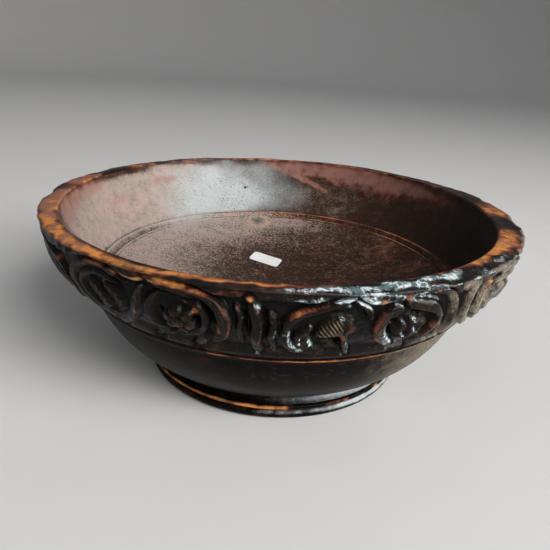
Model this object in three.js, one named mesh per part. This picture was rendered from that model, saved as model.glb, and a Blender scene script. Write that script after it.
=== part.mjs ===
// Carved wooden bowl on a turned foot. Millimetres, +Z up. The origin is the centre of the resting
// plane, and the front, where azimuths start, faces -Y. Azimuths grow towards +X.
import * as THREE from 'three';

// Rim and hollow. The wood has shrunk across its grain, so the rim is an oval, and the mouth of the
// hollow has moved a little to the left of it.
const BOWL_HEIGHT = 111;
const RIM_RADIUS_SIDE = 150;
const RIM_RADIUS_FRONT = 143.5;
const HOLLOW_RADIUS_SIDE = 135.5;
const HOLLOW_RADIUS_FRONT = 138;
const HOLLOW_SHIFT = -2;
const RIM_OUTER_ROUNDING = 2.4;
const RIM_INNER_ROUNDING = 2.2;
const RIM_TOP_FALL = 0.6;
const WALL_SWELL = 1.6;

// Floor of the hollow: a shallow dish inside a ring of two fine beads
const LEDGE_RADIUS = 118.5;
const LEDGE_HEIGHT = 67.5;
const BEAD_RING_WIDTH = 9;
const BEAD_RING_DROP = 2.2;
const BEAD_WIDTH = 1.8;
const INNER_BEAD_RISE = 1;
const OUTER_BEAD_RISE = 0.5;
const DISH_DEPTH = 23;

// Carved band, from the step up to the rim
const STEP_RADIUS = 126;
const STEP_HEIGHT = 64;
const STEP_THICKNESS = 2.5;
const STEP_OVERHANG = 3;
const BAND_SWELL = 6.8;
const CARVED_DEPTH = 5;
const CUT_SLOPE = 5.5;
const UPPER_BORDER = 9;
const LOWER_BORDER = 6;
const RIDGE_WIDTH = 8;

// Plain lower body, the cove under it and the spigot that the foot is glued on
const BELLY_SWELL = 7;
const NECK_RADIUS = 83;
const NECK_RISE = 5;
const SEAT_RADIUS = 85.5;
const SPIGOT_RADIUS = 62;
const RECESS_DEPTH = 3.5;

// Foot ring
const FOOT_HEIGHT = 10.5;
const FOOT_BEAD_RADIUS = 87.2;
const FOOT_BEAD_HEIGHT = 2.8;
const FOOT_BEAD_ARRIS = 0.9;
const FOOT_TORUS_RADIUS = 86.4;
const FOOT_GROOVE_DEPTH = 1.6;
const STANDING_RADIUS = 81.5;
const GLUE_GAP = 0.3;
const BORE_CHAMFER = 1;

// Blank paper label stuck on the floor
const LABEL_LENGTH = 24;
const LABEL_WIDTH = 12;
const LABEL_THICKNESS = 0.2;
const LABEL_CORNER = 2.2;
const LABEL_X = -10;
const LABEL_Y = 52;
const LABEL_TURN = -21.5;
const LABEL_GAP = 0.3;

// Motifs of the carving: azimuth in degrees, height above the band's lower edge, half sizes
const CARVING_REPEATS = 3;
const FLOWER_SCROLLS = [
  { azimuth: -36, rise: 28, halfWidth: 20, halfHeight: 16 },
  { azimuth: -17.5, rise: 29, halfWidth: 20, halfHeight: 15 },
  { azimuth: 8.5, rise: 29, halfWidth: 17, halfHeight: 14 },
  { azimuth: 26, rise: 28, halfWidth: 18, halfHeight: 14 },
  { azimuth: 58.5, rise: 28, halfWidth: 36, halfHeight: 16 },
];
const UPRIGHT_LEAVES = [
  { azimuth: -4, rise: 24, halfWidth: 5.5, halfHeight: 17 },
  { azimuth: 40.5, rise: 24, halfWidth: 3.5, halfHeight: 18 },
];
const FLOWER_SHARE = 0.42;

// Fineness of the surfaces
const PLAIN_COLUMNS = 72;
const CARVED_COLUMNS = 216;
const CARVED_ROWS = 13;
const FLOOR_ROWS = 7;
const WALL_ROWS = 5;
const BELLY_ROWS = 6;
const TORUS_ROWS = 5;
const LABEL_COLUMNS = 32;
const LABEL_INNER_RING = 0.5;
const EDGE_MARGIN = 0.05;

const FULL_TURN = 2 * Math.PI;
const SEAT_HEIGHT = FOOT_HEIGHT;
const FLOOR_EDGE_RADIUS = LEDGE_RADIUS - BEAD_RING_WIDTH;
const FLOOR_EDGE_HEIGHT = LEDGE_HEIGHT - BEAD_RING_DROP;

// A point of an oval ring: radius is the half width along X, front the half width along Y
function ovalPoint(azimuth, radius, front, height) {
  return new THREE.Vector3(radius * Math.sin(azimuth), -front * Math.cos(azimuth), height);
}

function ovalRing(radius, front, height, shift = 0) {
  return Array.from({ length: PLAIN_COLUMNS }, (_, column) => {
    const point = ovalPoint((FULL_TURN * column) / PLAIN_COLUMNS, radius, front, height);
    point.x += shift;
    return point;
  });
}

function roundRing(radius, height) {
  return ovalRing(radius, radius, height);
}

// Height of the dished floor at a distance from the bowl's axis
function floorHeight(radius) {
  return FLOOR_EDGE_HEIGHT - DISH_DEPTH * (1 - (radius / FLOOR_EDGE_RADIUS) ** 2);
}

// A curve from one point to another that stands out by swell to the right of their straight line.
// Its control point stands out twice as far as the curve itself.
function swollenCurve(from, to, swell) {
  const along = to.clone().sub(from).normalize();
  const control = from.clone().add(to).multiplyScalar(0.5);
  control.x += 2 * swell * along.y;
  control.y -= 2 * swell * along.x;
  return new THREE.QuadraticBezierCurve(from, control, to);
}

// A closed skin over rings that run from one pole on the axis to the other. Neighbouring rings may
// have different numbers of points.
function closedSkin(rings, firstPole, lastPole) {
  const positions = [];
  const indices = [];
  const starts = [];
  const add = (point) => positions.push(point.x, point.y, point.z) / 3 - 1;
  const first = add(firstPole);
  for (const ring of rings) {
    starts.push(positions.length / 3);
    ring.forEach(add);
  }
  const last = add(lastPole);
  const fanRing = (pole, ring, start, outwards) => {
    for (let column = 0; column < ring.length; column += 1) {
      const here = start + column;
      const next = start + ((column + 1) % ring.length);
      indices.push(pole, outwards ? here : next, outwards ? next : here);
    }
  };
  fanRing(first, rings[0], starts[0], true);
  for (let row = 0; row + 1 < rings.length; row += 1) {
    const [upper, lower] = [rings[row], rings[row + 1]];
    bridgeRings(indices, positions, starts[row], upper.length, starts[row + 1], lower.length);
  }
  fanRing(last, rings.at(-1), starts.at(-1), false);
  const geometry = new THREE.BufferGeometry();
  geometry.setAttribute('position', new THREE.Float32BufferAttribute(positions, 3));
  geometry.setIndex(indices);
  geometry.computeVertexNormals();
  return geometry;
}

// Triangles between two rings. The ring that lags behind steps forward, and where the rings are level
// the new edge that is clearly shorter is taken, so that the facets follow the carving.
function bridgeRings(indices, positions, startA, countA, startB, countB) {
  const pointAt = (index) => new THREE.Vector3().fromArray(positions, 3 * index);
  const edge = (from, to) => pointAt(from).distanceTo(pointAt(to));
  let a = 0;
  let b = 0;
  while (a < countA || b < countB) {
    const hereA = startA + (a % countA);
    const hereB = startB + (b % countB);
    const nextA = startA + ((a + 1) % countA);
    const nextB = startB + ((b + 1) % countB);
    const lead = a * countB - b * countA;
    if (lead < 0 || (lead === 0 && edge(nextA, hereB) + EDGE_MARGIN < edge(hereA, nextB))) {
      indices.push(hereA, hereB, nextA);
      a += 1;
    } else {
      indices.push(hereA, hereB, nextB);
      b += 1;
    }
  }
}

// Share of the full surface that a carved shape keeps, from its signed distance in millimetres
function keptShare(distanceInside) {
  return THREE.MathUtils.smoothstep(distanceInside, -CUT_SLOPE / 2, CUT_SLOPE / 2);
}

// Position on the unrolled band relative to a motif
function offsetFrom(motif, azimuth, rise) {
  const repeatAngle = 360 / CARVING_REPEATS;
  const turn = THREE.MathUtils.radToDeg(azimuth) - motif.azimuth;
  const nearest = turn - repeatAngle * Math.round(turn / repeatAngle);
  return { x: THREE.MathUtils.degToRad(nearest) * RIM_RADIUS_SIDE, y: rise - motif.rise };
}

function scrollShare(motif, azimuth, rise) {
  const { x, y } = offsetFrom(motif, azimuth, rise);
  const size = Math.min(motif.halfWidth, motif.halfHeight);
  const reach = Math.hypot(x / motif.halfWidth, y / motif.halfHeight);
  const stem = RIDGE_WIDTH / 2 - Math.abs(reach - 1) * size;
  const flower = (FLOWER_SHARE - reach) * size;
  return Math.max(keptShare(stem), keptShare(flower));
}

function leafShare(motif, azimuth, rise) {
  const { x, y } = offsetFrom(motif, azimuth, rise);
  const reach = Math.hypot(x / motif.halfWidth, y / motif.halfHeight);
  return keptShare((1 - reach) * motif.halfWidth);
}

// Depth of the carving at an azimuth and a height above the band's lower edge
function carvingDepth(azimuth, rise, bandHeight) {
  const borders = Math.max(keptShare(LOWER_BORDER - rise), keptShare(rise - bandHeight + UPPER_BORDER));
  const scrolls = FLOWER_SCROLLS.map((motif) => scrollShare(motif, azimuth, rise));
  const leaves = UPRIGHT_LEAVES.map((motif) => leafShare(motif, azimuth, rise));
  return CARVED_DEPTH * (1 - Math.max(borders, ...scrolls, ...leaves));
}

// Rings of the floor, its bead ring and the wall of the hollow, from the middle to the rim
function hollowRings() {
  const rings = [];
  for (let row = 1; row <= FLOOR_ROWS; row += 1) {
    const radius = (FLOOR_EDGE_RADIUS * row) / FLOOR_ROWS;
    rings.push(roundRing(radius, floorHeight(radius)));
  }
  rings.push(roundRing(FLOOR_EDGE_RADIUS + BEAD_WIDTH, FLOOR_EDGE_HEIGHT + INNER_BEAD_RISE));
  rings.push(roundRing(LEDGE_RADIUS - BEAD_RING_WIDTH / 2, FLOOR_EDGE_HEIGHT));
  rings.push(roundRing(LEDGE_RADIUS - BEAD_WIDTH, LEDGE_HEIGHT + OUTER_BEAD_RISE));
  const foot = new THREE.Vector2(LEDGE_RADIUS, LEDGE_HEIGHT);
  const top = new THREE.Vector2(HOLLOW_RADIUS_SIDE, BOWL_HEIGHT - RIM_INNER_ROUNDING);
  const wall = swollenCurve(foot, top, WALL_SWELL);
  for (let row = 0; row <= WALL_ROWS; row += 1) {
    const share = row / WALL_ROWS;
    const { x: radius, y: height } = wall.getPoint(share);
    const front = radius + (HOLLOW_RADIUS_FRONT - HOLLOW_RADIUS_SIDE) * share;
    rings.push(ovalRing(radius, front, height, HOLLOW_SHIFT * share));
  }
  return rings;
}

// Worn top of the rim, which falls a little towards its outer edge
function rimRings() {
  const innerSide = HOLLOW_RADIUS_SIDE + RIM_INNER_ROUNDING;
  const innerFront = HOLLOW_RADIUS_FRONT + RIM_INNER_ROUNDING;
  const outerSide = RIM_RADIUS_SIDE - RIM_OUTER_ROUNDING;
  const outerFront = RIM_RADIUS_FRONT - RIM_OUTER_ROUNDING;
  return [
    ovalRing(innerSide, innerFront, BOWL_HEIGHT, HOLLOW_SHIFT),
    ovalRing(outerSide, outerFront, BOWL_HEIGHT - RIM_TOP_FALL),
  ];
}

// Carved rings of the band, from the rim down to the step
function bandRings() {
  const lower = new THREE.Vector2(STEP_RADIUS, STEP_HEIGHT + STEP_THICKNESS);
  const upper = new THREE.Vector2(RIM_RADIUS_SIDE, BOWL_HEIGHT - RIM_OUTER_ROUNDING);
  const profile = swollenCurve(lower, upper, BAND_SWELL);
  const bandHeight = profile.getLength();
  const rings = [];
  for (let row = CARVED_ROWS; row >= 0; row -= 1) {
    const share = row / CARVED_ROWS;
    const { x: radius, y: height } = profile.getPointAt(share);
    const along = profile.getTangentAt(share);
    const squash = 1 - (1 - RIM_RADIUS_FRONT / RIM_RADIUS_SIDE) * share;
    rings.push(Array.from({ length: CARVED_COLUMNS }, (_, column) => {
      const azimuth = (FULL_TURN * column) / CARVED_COLUMNS;
      const depth = carvingDepth(azimuth, share * bandHeight, bandHeight);
      const carved = radius - depth * along.y;
      return ovalPoint(azimuth, carved, carved * squash, height + depth * along.x);
    }));
  }
  return rings;
}

// Step under the band, plain lower body, cove, seat for the foot and spigot
function undersideRings() {
  const lipRadius = STEP_RADIUS - STEP_OVERHANG;
  const neckHeight = SEAT_HEIGHT + NECK_RISE;
  const neck = new THREE.Vector2(NECK_RADIUS, neckHeight);
  const belly = swollenCurve(neck, new THREE.Vector2(lipRadius, STEP_HEIGHT), BELLY_SWELL);
  const rings = [roundRing(STEP_RADIUS, STEP_HEIGHT)];
  for (let row = BELLY_ROWS; row >= 0; row -= 1) {
    const { x: radius, y: height } = belly.getPoint(row / BELLY_ROWS);
    rings.push(roundRing(radius, height));
  }
  rings.push(roundRing(NECK_RADIUS, SEAT_HEIGHT + NECK_RISE / 2));
  rings.push(roundRing(SEAT_RADIUS, SEAT_HEIGHT));
  rings.push(roundRing(SPIGOT_RADIUS, SEAT_HEIGHT));
  rings.push(roundRing(SPIGOT_RADIUS, RECESS_DEPTH));
  return rings;
}

function bowlBody() {
  const rings = [...hollowRings(), ...rimRings(), ...bandRings(), ...undersideRings()];
  const floorMiddle = new THREE.Vector3(0, 0, floorHeight(0));
  const spigotMiddle = new THREE.Vector3(0, 0, RECESS_DEPTH);
  return closedSkin(rings, floorMiddle, spigotMiddle);
}

// Ring with a bead over a round torus, bored for the spigot. The torus is half an ellipse, from the
// standing face round to the groove under the bead.
function footRing() {
  const bore = SPIGOT_RADIUS + GLUE_GAP;
  const torusHeight = FOOT_HEIGHT - FOOT_BEAD_HEIGHT;
  const torusWidth = FOOT_TORUS_RADIUS - STANDING_RADIUS;
  const grooveAngle = Math.acos(1 - FOOT_GROOVE_DEPTH / torusWidth);
  const outside = [];
  for (let row = 0; row <= TORUS_ROWS; row += 1) {
    const angle = THREE.MathUtils.lerp(-Math.PI / 2, grooveAngle, row / TORUS_ROWS);
    const height = (torusHeight * (1 + Math.sin(angle))) / 2;
    outside.push([STANDING_RADIUS + torusWidth * Math.cos(angle), height]);
  }
  outside.push([FOOT_TORUS_RADIUS - FOOT_GROOVE_DEPTH, torusHeight]);
  outside.push([FOOT_BEAD_RADIUS, torusHeight + FOOT_BEAD_ARRIS]);
  outside.push([FOOT_BEAD_RADIUS, FOOT_HEIGHT - FOOT_BEAD_ARRIS]);
  outside.push([SEAT_RADIUS, FOOT_HEIGHT]);
  const inside = [
    [bore, FOOT_HEIGHT],
    [bore, BORE_CHAMFER],
    [bore + BORE_CHAMFER, 0],
  ];
  const profile = [...outside, ...inside, outside[0]].map(([radius, height]) =>
    new THREE.Vector2(radius, height));
  return new THREE.LatheGeometry(profile, PLAIN_COLUMNS).rotateX(Math.PI / 2);
}

// Outline point of a rectangle with round corners, as a share of the way round
function labelOutline(share, scale) {
  const shape = new THREE.Shape();
  const [x, y] = [LABEL_LENGTH / 2, LABEL_WIDTH / 2];
  shape.moveTo(x - LABEL_CORNER, -y);
  shape.absarc(x - LABEL_CORNER, -y + LABEL_CORNER, LABEL_CORNER, -Math.PI / 2, 0);
  shape.absarc(x - LABEL_CORNER, y - LABEL_CORNER, LABEL_CORNER, 0, Math.PI / 2);
  shape.absarc(-x + LABEL_CORNER, y - LABEL_CORNER, LABEL_CORNER, Math.PI / 2, Math.PI);
  shape.absarc(-x + LABEL_CORNER, -y + LABEL_CORNER, LABEL_CORNER, Math.PI, 1.5 * Math.PI);
  shape.closePath();
  return shape.getPointAt(share).multiplyScalar(scale);
}

// The label lies along the dished floor, so its rings take their heights from the floor
function paperLabel() {
  const turn = THREE.MathUtils.degToRad(LABEL_TURN);
  const place = (flat, lift) => {
    const point = flat.rotateAround(new THREE.Vector2(), turn).add(new THREE.Vector2(LABEL_X, LABEL_Y));
    return new THREE.Vector3(point.x, point.y, floorHeight(point.length()) + LABEL_GAP + lift);
  };
  const ring = (scale, lift) => Array.from({ length: LABEL_COLUMNS }, (_, column) =>
    place(labelOutline(column / LABEL_COLUMNS, scale), lift));
  const rings = [
    ring(LABEL_INNER_RING, LABEL_THICKNESS),
    ring(1, LABEL_THICKNESS),
    ring(1, 0),
    ring(LABEL_INNER_RING, 0),
  ];
  return closedSkin(rings, place(new THREE.Vector2(), LABEL_THICKNESS), place(new THREE.Vector2(), 0));
}

function namedMesh(name, geometry, color, roughness) {
  const mesh = new THREE.Mesh(geometry, new THREE.MeshStandardMaterial({ color, roughness, metalness: 0 }));
  mesh.name = name;
  return mesh;
}

const bowl = new THREE.Group();
bowl.add(namedMesh('bowl_body', bowlBody(), 0x2b1a14, 0.45));
bowl.add(namedMesh('foot_ring', footRing(), 0x241712, 0.4));
bowl.add(namedMesh('paper_label', paperLabel(), 0xe9e8e4, 0.8));

export default bowl;
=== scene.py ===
import itertools
import math
from collections import namedtuple

import bpy
import numpy as np
from bpy.props import FloatProperty, FloatVectorProperty, PointerProperty
from mathutils import Euler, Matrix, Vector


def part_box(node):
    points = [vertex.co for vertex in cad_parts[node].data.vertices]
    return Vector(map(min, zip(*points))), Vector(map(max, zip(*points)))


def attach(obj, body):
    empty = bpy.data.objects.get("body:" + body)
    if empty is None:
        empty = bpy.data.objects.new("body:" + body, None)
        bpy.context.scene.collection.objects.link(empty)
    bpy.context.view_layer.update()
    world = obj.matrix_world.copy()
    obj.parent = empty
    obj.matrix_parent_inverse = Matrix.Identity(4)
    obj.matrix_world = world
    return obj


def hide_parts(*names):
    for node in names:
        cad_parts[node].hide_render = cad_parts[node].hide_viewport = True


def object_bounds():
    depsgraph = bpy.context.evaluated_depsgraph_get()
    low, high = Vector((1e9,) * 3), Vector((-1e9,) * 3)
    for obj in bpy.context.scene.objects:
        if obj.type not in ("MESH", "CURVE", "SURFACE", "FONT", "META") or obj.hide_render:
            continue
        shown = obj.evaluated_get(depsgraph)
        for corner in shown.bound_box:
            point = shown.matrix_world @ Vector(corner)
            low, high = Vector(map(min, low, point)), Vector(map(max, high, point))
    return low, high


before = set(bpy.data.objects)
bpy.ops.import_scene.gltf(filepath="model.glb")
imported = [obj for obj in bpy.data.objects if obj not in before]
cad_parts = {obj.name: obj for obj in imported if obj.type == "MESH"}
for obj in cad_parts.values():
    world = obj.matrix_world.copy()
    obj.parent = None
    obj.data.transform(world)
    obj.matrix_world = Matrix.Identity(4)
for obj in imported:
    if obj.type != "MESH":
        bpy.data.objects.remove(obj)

bl_info = {
    "name": "Carved wooden bowl",
    "version": (1, 0, 0),
    "blender": (4, 5, 0),
    "location": "View3D > Sidebar > Bowl",
    "description": "An old turned and carved bowl on its foot ring, with its worn finish, on a plain floor",
    "category": "Add Mesh",
}

# Shapes are worked out in millimetres, with azimuths in degrees from the front (-Y) towards +X
MM = 0.001
BODY_LOW, BODY_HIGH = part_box("bowl_body")
FOOT_LOW, FOOT_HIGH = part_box("foot_ring")
CAD_LOW, CAD_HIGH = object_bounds()

# Hollow: the oval of its mouth, the ledge ring with its two beads and the dished floor
HOLLOW_SIDE = 135.5
HOLLOW_FRONT = 138.0
HOLLOW_SHIFT = -2.0
WALL_SWELL = 1.6
LEDGE_RADIUS = 118.5
LEDGE_HEIGHT = 67.5
BEAD_RING_WIDTH = 9.0
BEAD_RING_DROP = 2.2
DISH_DEPTH = 23.0
DISH_EDGE = LEDGE_RADIUS - BEAD_RING_WIDTH
DISH_EDGE_HEIGHT = LEDGE_HEIGHT - BEAD_RING_DROP
INNER_BEAD = (DISH_EDGE + 1.5, 1.2, 0.9)
OUTER_BEAD = (LEDGE_RADIUS - 1.7, 1.3, 1.0)
GROOVE_INSET = 4.2
GROOVE_WIDTH = 0.8
GROOVE_DEPTH = 0.5
RIM_INNER_ROUNDING = 2.2
RIM_OUTER_ROUNDING = 2.6
RIM_TOP_FALL = 0.6

# Outside: carved band over a step, plain belly, cove and the seat of the foot
STEP_RADIUS = 126.0
STEP_HEIGHT = 64.0
STEP_THICKNESS = 2.5
STEP_TOP = STEP_HEIGHT + STEP_THICKNESS
STEP_OVERHANG = 3.0
STEP_ROUNDING = 0.7
STEP_SPLIT_AZIMUTH = 44
BAND_SWELL = 6.8
BELLY_SWELL = 7.0
NECK_RADIUS = 83.0
NECK_RISE = 5.0
SEAT_RADIUS = 85.5
SPIGOT_RADIUS = 62.0
RECESS_HEIGHT = 3.5

# Foot ring: a bead over a round torus
FOOT_BEAD_HEIGHT = 2.8
FOOT_TORUS_RADIUS = 86.4
FOOT_GROOVE = 1.6
STANDING_RADIUS = 81.5
GLUE_GAP = 0.3

# Blank label on the floor of the hollow
LABEL_LENGTH = 24.0
LABEL_WIDTH = 12.0
LABEL_THICKNESS = 0.2
LABEL_CORNER = 2.2
LABEL_PLACE = (-10.0, 52.0)
LABEL_TURN = -21.5
LABEL_GAP = 0.2

# Fineness of the skins. Columns stand closer together at the front, where the carving is sharpest.
FINE_COLUMNS = 816
PLAIN_COLUMNS = FINE_COLUMNS // 3
FOOT_COLUMNS = 480
FLOOR_COLUMNS = 96
FRONT_FINENESS = 0.5
BAND_ROWS = 70
NOISE_CELLS = 32

# The carving repeats round the band. Places on it are an azimuth and a rise above the band's foot.
REPEATS = 3
REPEAT_ANGLE = 360 / REPEATS
MM_PER_DEGREE = 2.5
COVE_RISE = 9.0
# Azimuth to both sides of the front at which the carving is shallowest, and how far that reaches
SHALLOW_TURN = 61
SHALLOW_HALF_ANGLE = 22
# Ribs of the shell: how far they are counted to each side of its middle, and their distance
RIB_SPREAD = 24.0
RIB_SPACING = 1.7

# Values of the finish, with painted sheen, painted light and painted shade among them, kept at the points of
# the skins, and the bowl's materials in the order of its slots
FINISHES = ("bare", "grime_and_shade", "red", "bloom_and_sheen", "scuff_and_light", "hue", "ribbed", "rib_place")
DISH_WOOD, WALL_WOOD, RIM_WOOD, CARVED_WOOD, TURNED_WOOD = range(5)

# Floor and backdrop
FLOOR_BEND = 1200.0
BACKDROP_HEIGHT = 3200.0

Stem = namedtuple("Stem", "half_width crown bare side points")
Leaf = namedtuple("Leaf", "half_width crown bare points")
Flower = namedtuple("Flower", "azimuth rise radius petals turn")
Shell = namedtuple("Shell", "azimuth rise reach first_angle last_angle")
Dot = namedtuple("Dot", "azimuth rise radius depth")
Slit = namedtuple("Slit", "half_width depth points")
Patch = namedtuple("Patch", "azimuth height half_angle half_height strength")
Arc = namedtuple("Arc", "azimuth half_angle sharpness")
Sheet = namedtuple("Sheet", "points finish look")
Spot = namedtuple("Spot", "place radius soft_edge colour depth")
SoftLight = namedtuple("SoftLight", "name size azimuth elevation distance spread")

# Stems in the order they are cut, so that a later one passes over an earlier one. Side is the worn
# edge: 1 on the left of the way along the points, -1 on the right.
STEMS = (
    Stem(2.8, 0.9, 0.5, -1, ((-28, 43), (-32, 46), (-38, 45.5), (-42.5, 41), (-44.3, 34), (-44, 26),
        (-41.5, 19), (-37, 13.5), (-32, 12))),
    Stem(1.9, 1.6, 0.2, -1, ((-30.5, 40), (-35, 42.3), (-39.5, 39.5), (-41.3, 33), (-40.6, 25.5),
        (-37.5, 19.5), (-33, 17.5), (-30, 20.5))),
    Stem(3.0, 0.5, 0.5, 1, ((-25.2, 42), (-26.2, 34), (-27.4, 26.5), (-29.5, 19.5), (-32.6, 12.5),
        (-36.6, 5.5), (-39.4, 0.5))),
    Stem(1.9, 1.4, 0.4, 1, ((-21, 42.5), (-16.8, 42.2), (-13.9, 39), (-12.7, 33), (-12.8, 26),
        (-14.4, 20.3), (-17.5, 16.8), (-21, 17.6), (-23.3, 22), (-24, 29), (-23.2, 36.5), (-21, 42.5))),
    Stem(2.3, 1.2, 0.35, -1, ((-19.3, 17), (-21.5, 13.5), (-24.2, 8), (-26.5, 1.5))),
    Stem(2.2, 1.2, 0.3, 1, ((-12.8, 17), (-14.2, 11), (-15.8, 5.5), (-16.8, 1))),
    Stem(3.1, 0.2, 0.9, 1, ((-23.5, 49), (-17.8, 46.4), (-13, 44.3), (-10.2, 40.5), (-9.1, 34), (-8.9, 28),
        (-9.6, 22), (-11.2, 17.5))),
    Stem(1.6, 2.6, 0.2, 1, ((-6.9, 41), (-6.1, 34), (-6.5, 24), (-6.0, 14))),
    Stem(2.7, 1.0, 0.35, 1, ((-4.2, 44.5), (-3.4, 37), (-2.9, 30), (-3.4, 20), (-2.8, 6))),
    Stem(2.1, 2.4, 0.2, 1, ((-0.9, 38), (0.0, 31), (-0.6, 22), (0.3, 9))),
    Stem(2.2, 1.5, 0.7, -1, ((6, 40.2), (8, 41.2), (10, 43), (12, 44.2), (13.8, 45.4))),
    Stem(1.6, 0.5, 0.1, 1, ((12.8, 46.4), (14.8, 44.4), (16.2, 41), (17.1, 36.5))),
    Stem(2.4, 0.3, 0.55, 1, ((2.3, 33), (1.9, 28), (2.1, 22), (3.1, 16.5), (4.9, 12), (7.4, 9.2),
        (10, 8.6))),
    Stem(2.4, 0.1, 1.25, -1, ((13.4, 48.6), (10.6, 45.8), (8.3, 43.2), (5.5, 40.7), (3.6, 38), (2.4, 34),
        (2, 30))),
    Stem(1.6, 0.9, 0.4, 1, ((11.8, 28.5), (12.8, 23.5), (13.5, 17), (14.4, 10), (15.6, 4.5))),
    Stem(3.4, 0.4, 0.95, -1, ((23.4, 41), (21.4, 40), (19.7, 36), (19.3, 30.5), (20.0, 24.5), (21.9, 18.7),
        (24.3, 12.8), (27, 7), (29.6, 1.5))),
    Stem(2.2, 0.9, 0.35, 1, ((25, 48.6), (29.6, 48.6), (33, 45.6), (34.8, 40.6), (35.6, 34), (36.6, 26),
        (38.2, 17), (41, 8), (44, 2))),
    Stem(2.0, 0.9, 0.4, 1, ((24.4, 45), (27.8, 44.4), (30.4, 41.4), (31.9, 36.5), (32.9, 30.5),
        (33.4, 23.5), (34.6, 15.5), (36.8, 8), (39.5, 2))),
    Stem(2.6, 0.2, 0.95, -1, ((24.8, 49.5), (24.0, 46.4), (24.4, 43.4), (26.4, 41.6), (29.2, 39.4),
        (31.5, 35.2), (32.1, 30), (31.5, 24.5), (29.9, 19), (27.5, 15.5))),
    Stem(2.5, 0.8, 0.45, -1, ((42, 47), (40.4, 42), (39.9, 35), (40.7, 27.5), (43, 20), (46.8, 13),
        (51.5, 7), (57, 3))),
    Stem(2.9, 0.4, 0.7, -1, ((50.5, 46.2), (46, 45), (44.1, 40), (43.9, 33), (45.3, 25.5), (48.9, 18),
        (54.4, 12.5), (60.5, 10), (66.5, 11), (71.2, 15.2), (73.4, 22), (73, 30), (70, 37.5), (64.5, 42.6),
        (57.5, 45.8), (50.5, 46.2))),
    Stem(1.8, 1.8, 0.25, -1, ((47.7, 37), (47.9, 30), (50.8, 23), (56, 17.5), (61.5, 15.6), (66.5, 17.6),
        (69.2, 23.5), (68.6, 30.5), (65, 36), (59, 39.8), (52.5, 41), (47.7, 37))),
)
LEAVES = (
    Leaf(4.2, 1.4, 0.25, ((6.2, 30), (5.1, 26), (5.0, 21), (6.1, 16.5), (8.6, 14.2))),
    Leaf(3.2, 1.6, 0.2, ((9.2, 26), (9.4, 22), (10.4, 18.4), (12.2, 15.8))),
    Leaf(6.2, 1.3, 0.25, ((48.6, 36), (54, 32.5), (60, 27.5), (65.5, 21))),
    Leaf(4.2, 1.6, 0.2, ((-36.5, 20), (-35.2, 25), (-36, 31), (-38.2, 36.5))),
    Leaf(3.8, 1.6, 0.25, ((-31.6, 22), (-30.4, 28), (-31.4, 34), (-34, 38.6))),
)
FLOWERS = (Flower(26.0, 25.6, 10.4, 5, 15), Flower(-17.8, 26.8, 9.0, 6, 40))
SHELLS = (Shell(12.3, 27.0, 10.6, 28, 182),)
KNOBS = (Dot(-4.2, 47.0, 2.5, 2.6), Dot(37.3, 47.0, 2.4, 1.6))
HOLES = (
    Dot(22.4, 30.6, 1.8, 3.2), Dot(26.6, 34.6, 2.3, 3.8), Dot(29.8, 25.8, 2.4, 4.0),
    Dot(25.0, 25.4, 1.4, 2.4), Dot(49.0, 34.4, 1.8, 3.0), Dot(63.6, 18.6, 1.8, 3.0),
    Dot(-18.6, 19.4, 1.5, 2.4), Dot(-14.6, 27.4, 1.7, 2.6), Dot(-21.4, 31.0, 1.6, 2.4),
    Dot(9.2, 19.8, 1.4, 2.2), Dot(12.0, 19.6, 1.3, 2.2), Dot(7.2, 24.6, 1.3, 2.0),
)
SLITS = (
    Slit(1.2, 2.6, ((20.9, 36.5), (21.2, 29), (22.2, 22.5), (24.2, 15.5))),
    Slit(1.1, 2.4, ((-15.2, 44.2), (-12.4, 41), (-11.2, 34), (-10.9, 27.5))),
    Slit(1.0, 2.2, ((36.2, 43.4), (37.4, 48.6))),
    Slit(1.0, 2.2, ((30.2, 44.8), (31.9, 39.0), (33.2, 33.6), (34.2, 30))),
    Slit(0.9, 1.8, ((-4.9, 40), (-4.7, 30), (-4.7, 18))),
    Slit(0.9, 1.8, ((-1.9, 40), (-1.7, 30), (-1.8, 18))),
)

# Spots rubbed down to the wood
RUBBED_SPOTS = (
    Dot(-14.4, 33.5, 2.3, 0.9), Dot(-16.0, 39.0, 1.8, 0.8), Dot(-34.2, 39.6, 1.7, 0.9),
    Dot(-27.2, 27.4, 1.5, 0.9), Dot(-33.4, 30.4, 1.2, 0.7), Dot(18.4, 46.6, 2.0, 1.0),
    Dot(30.2, 50.0, 1.7, 1.0), Dot(12.2, 25.4, 1.8, 0.7), Dot(-10.2, 25.5, 1.8, 0.7),
    Dot(20.9, 45.4, 1.2, 0.8), Dot(23.6, 47.6, 1.9, 1.0), Dot(45.0, 44.5, 1.7, 0.8),
    Dot(70.5, 40.0, 1.8, 0.8), Dot(-6.4, 40.5, 1.2, 0.6),
)
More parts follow.
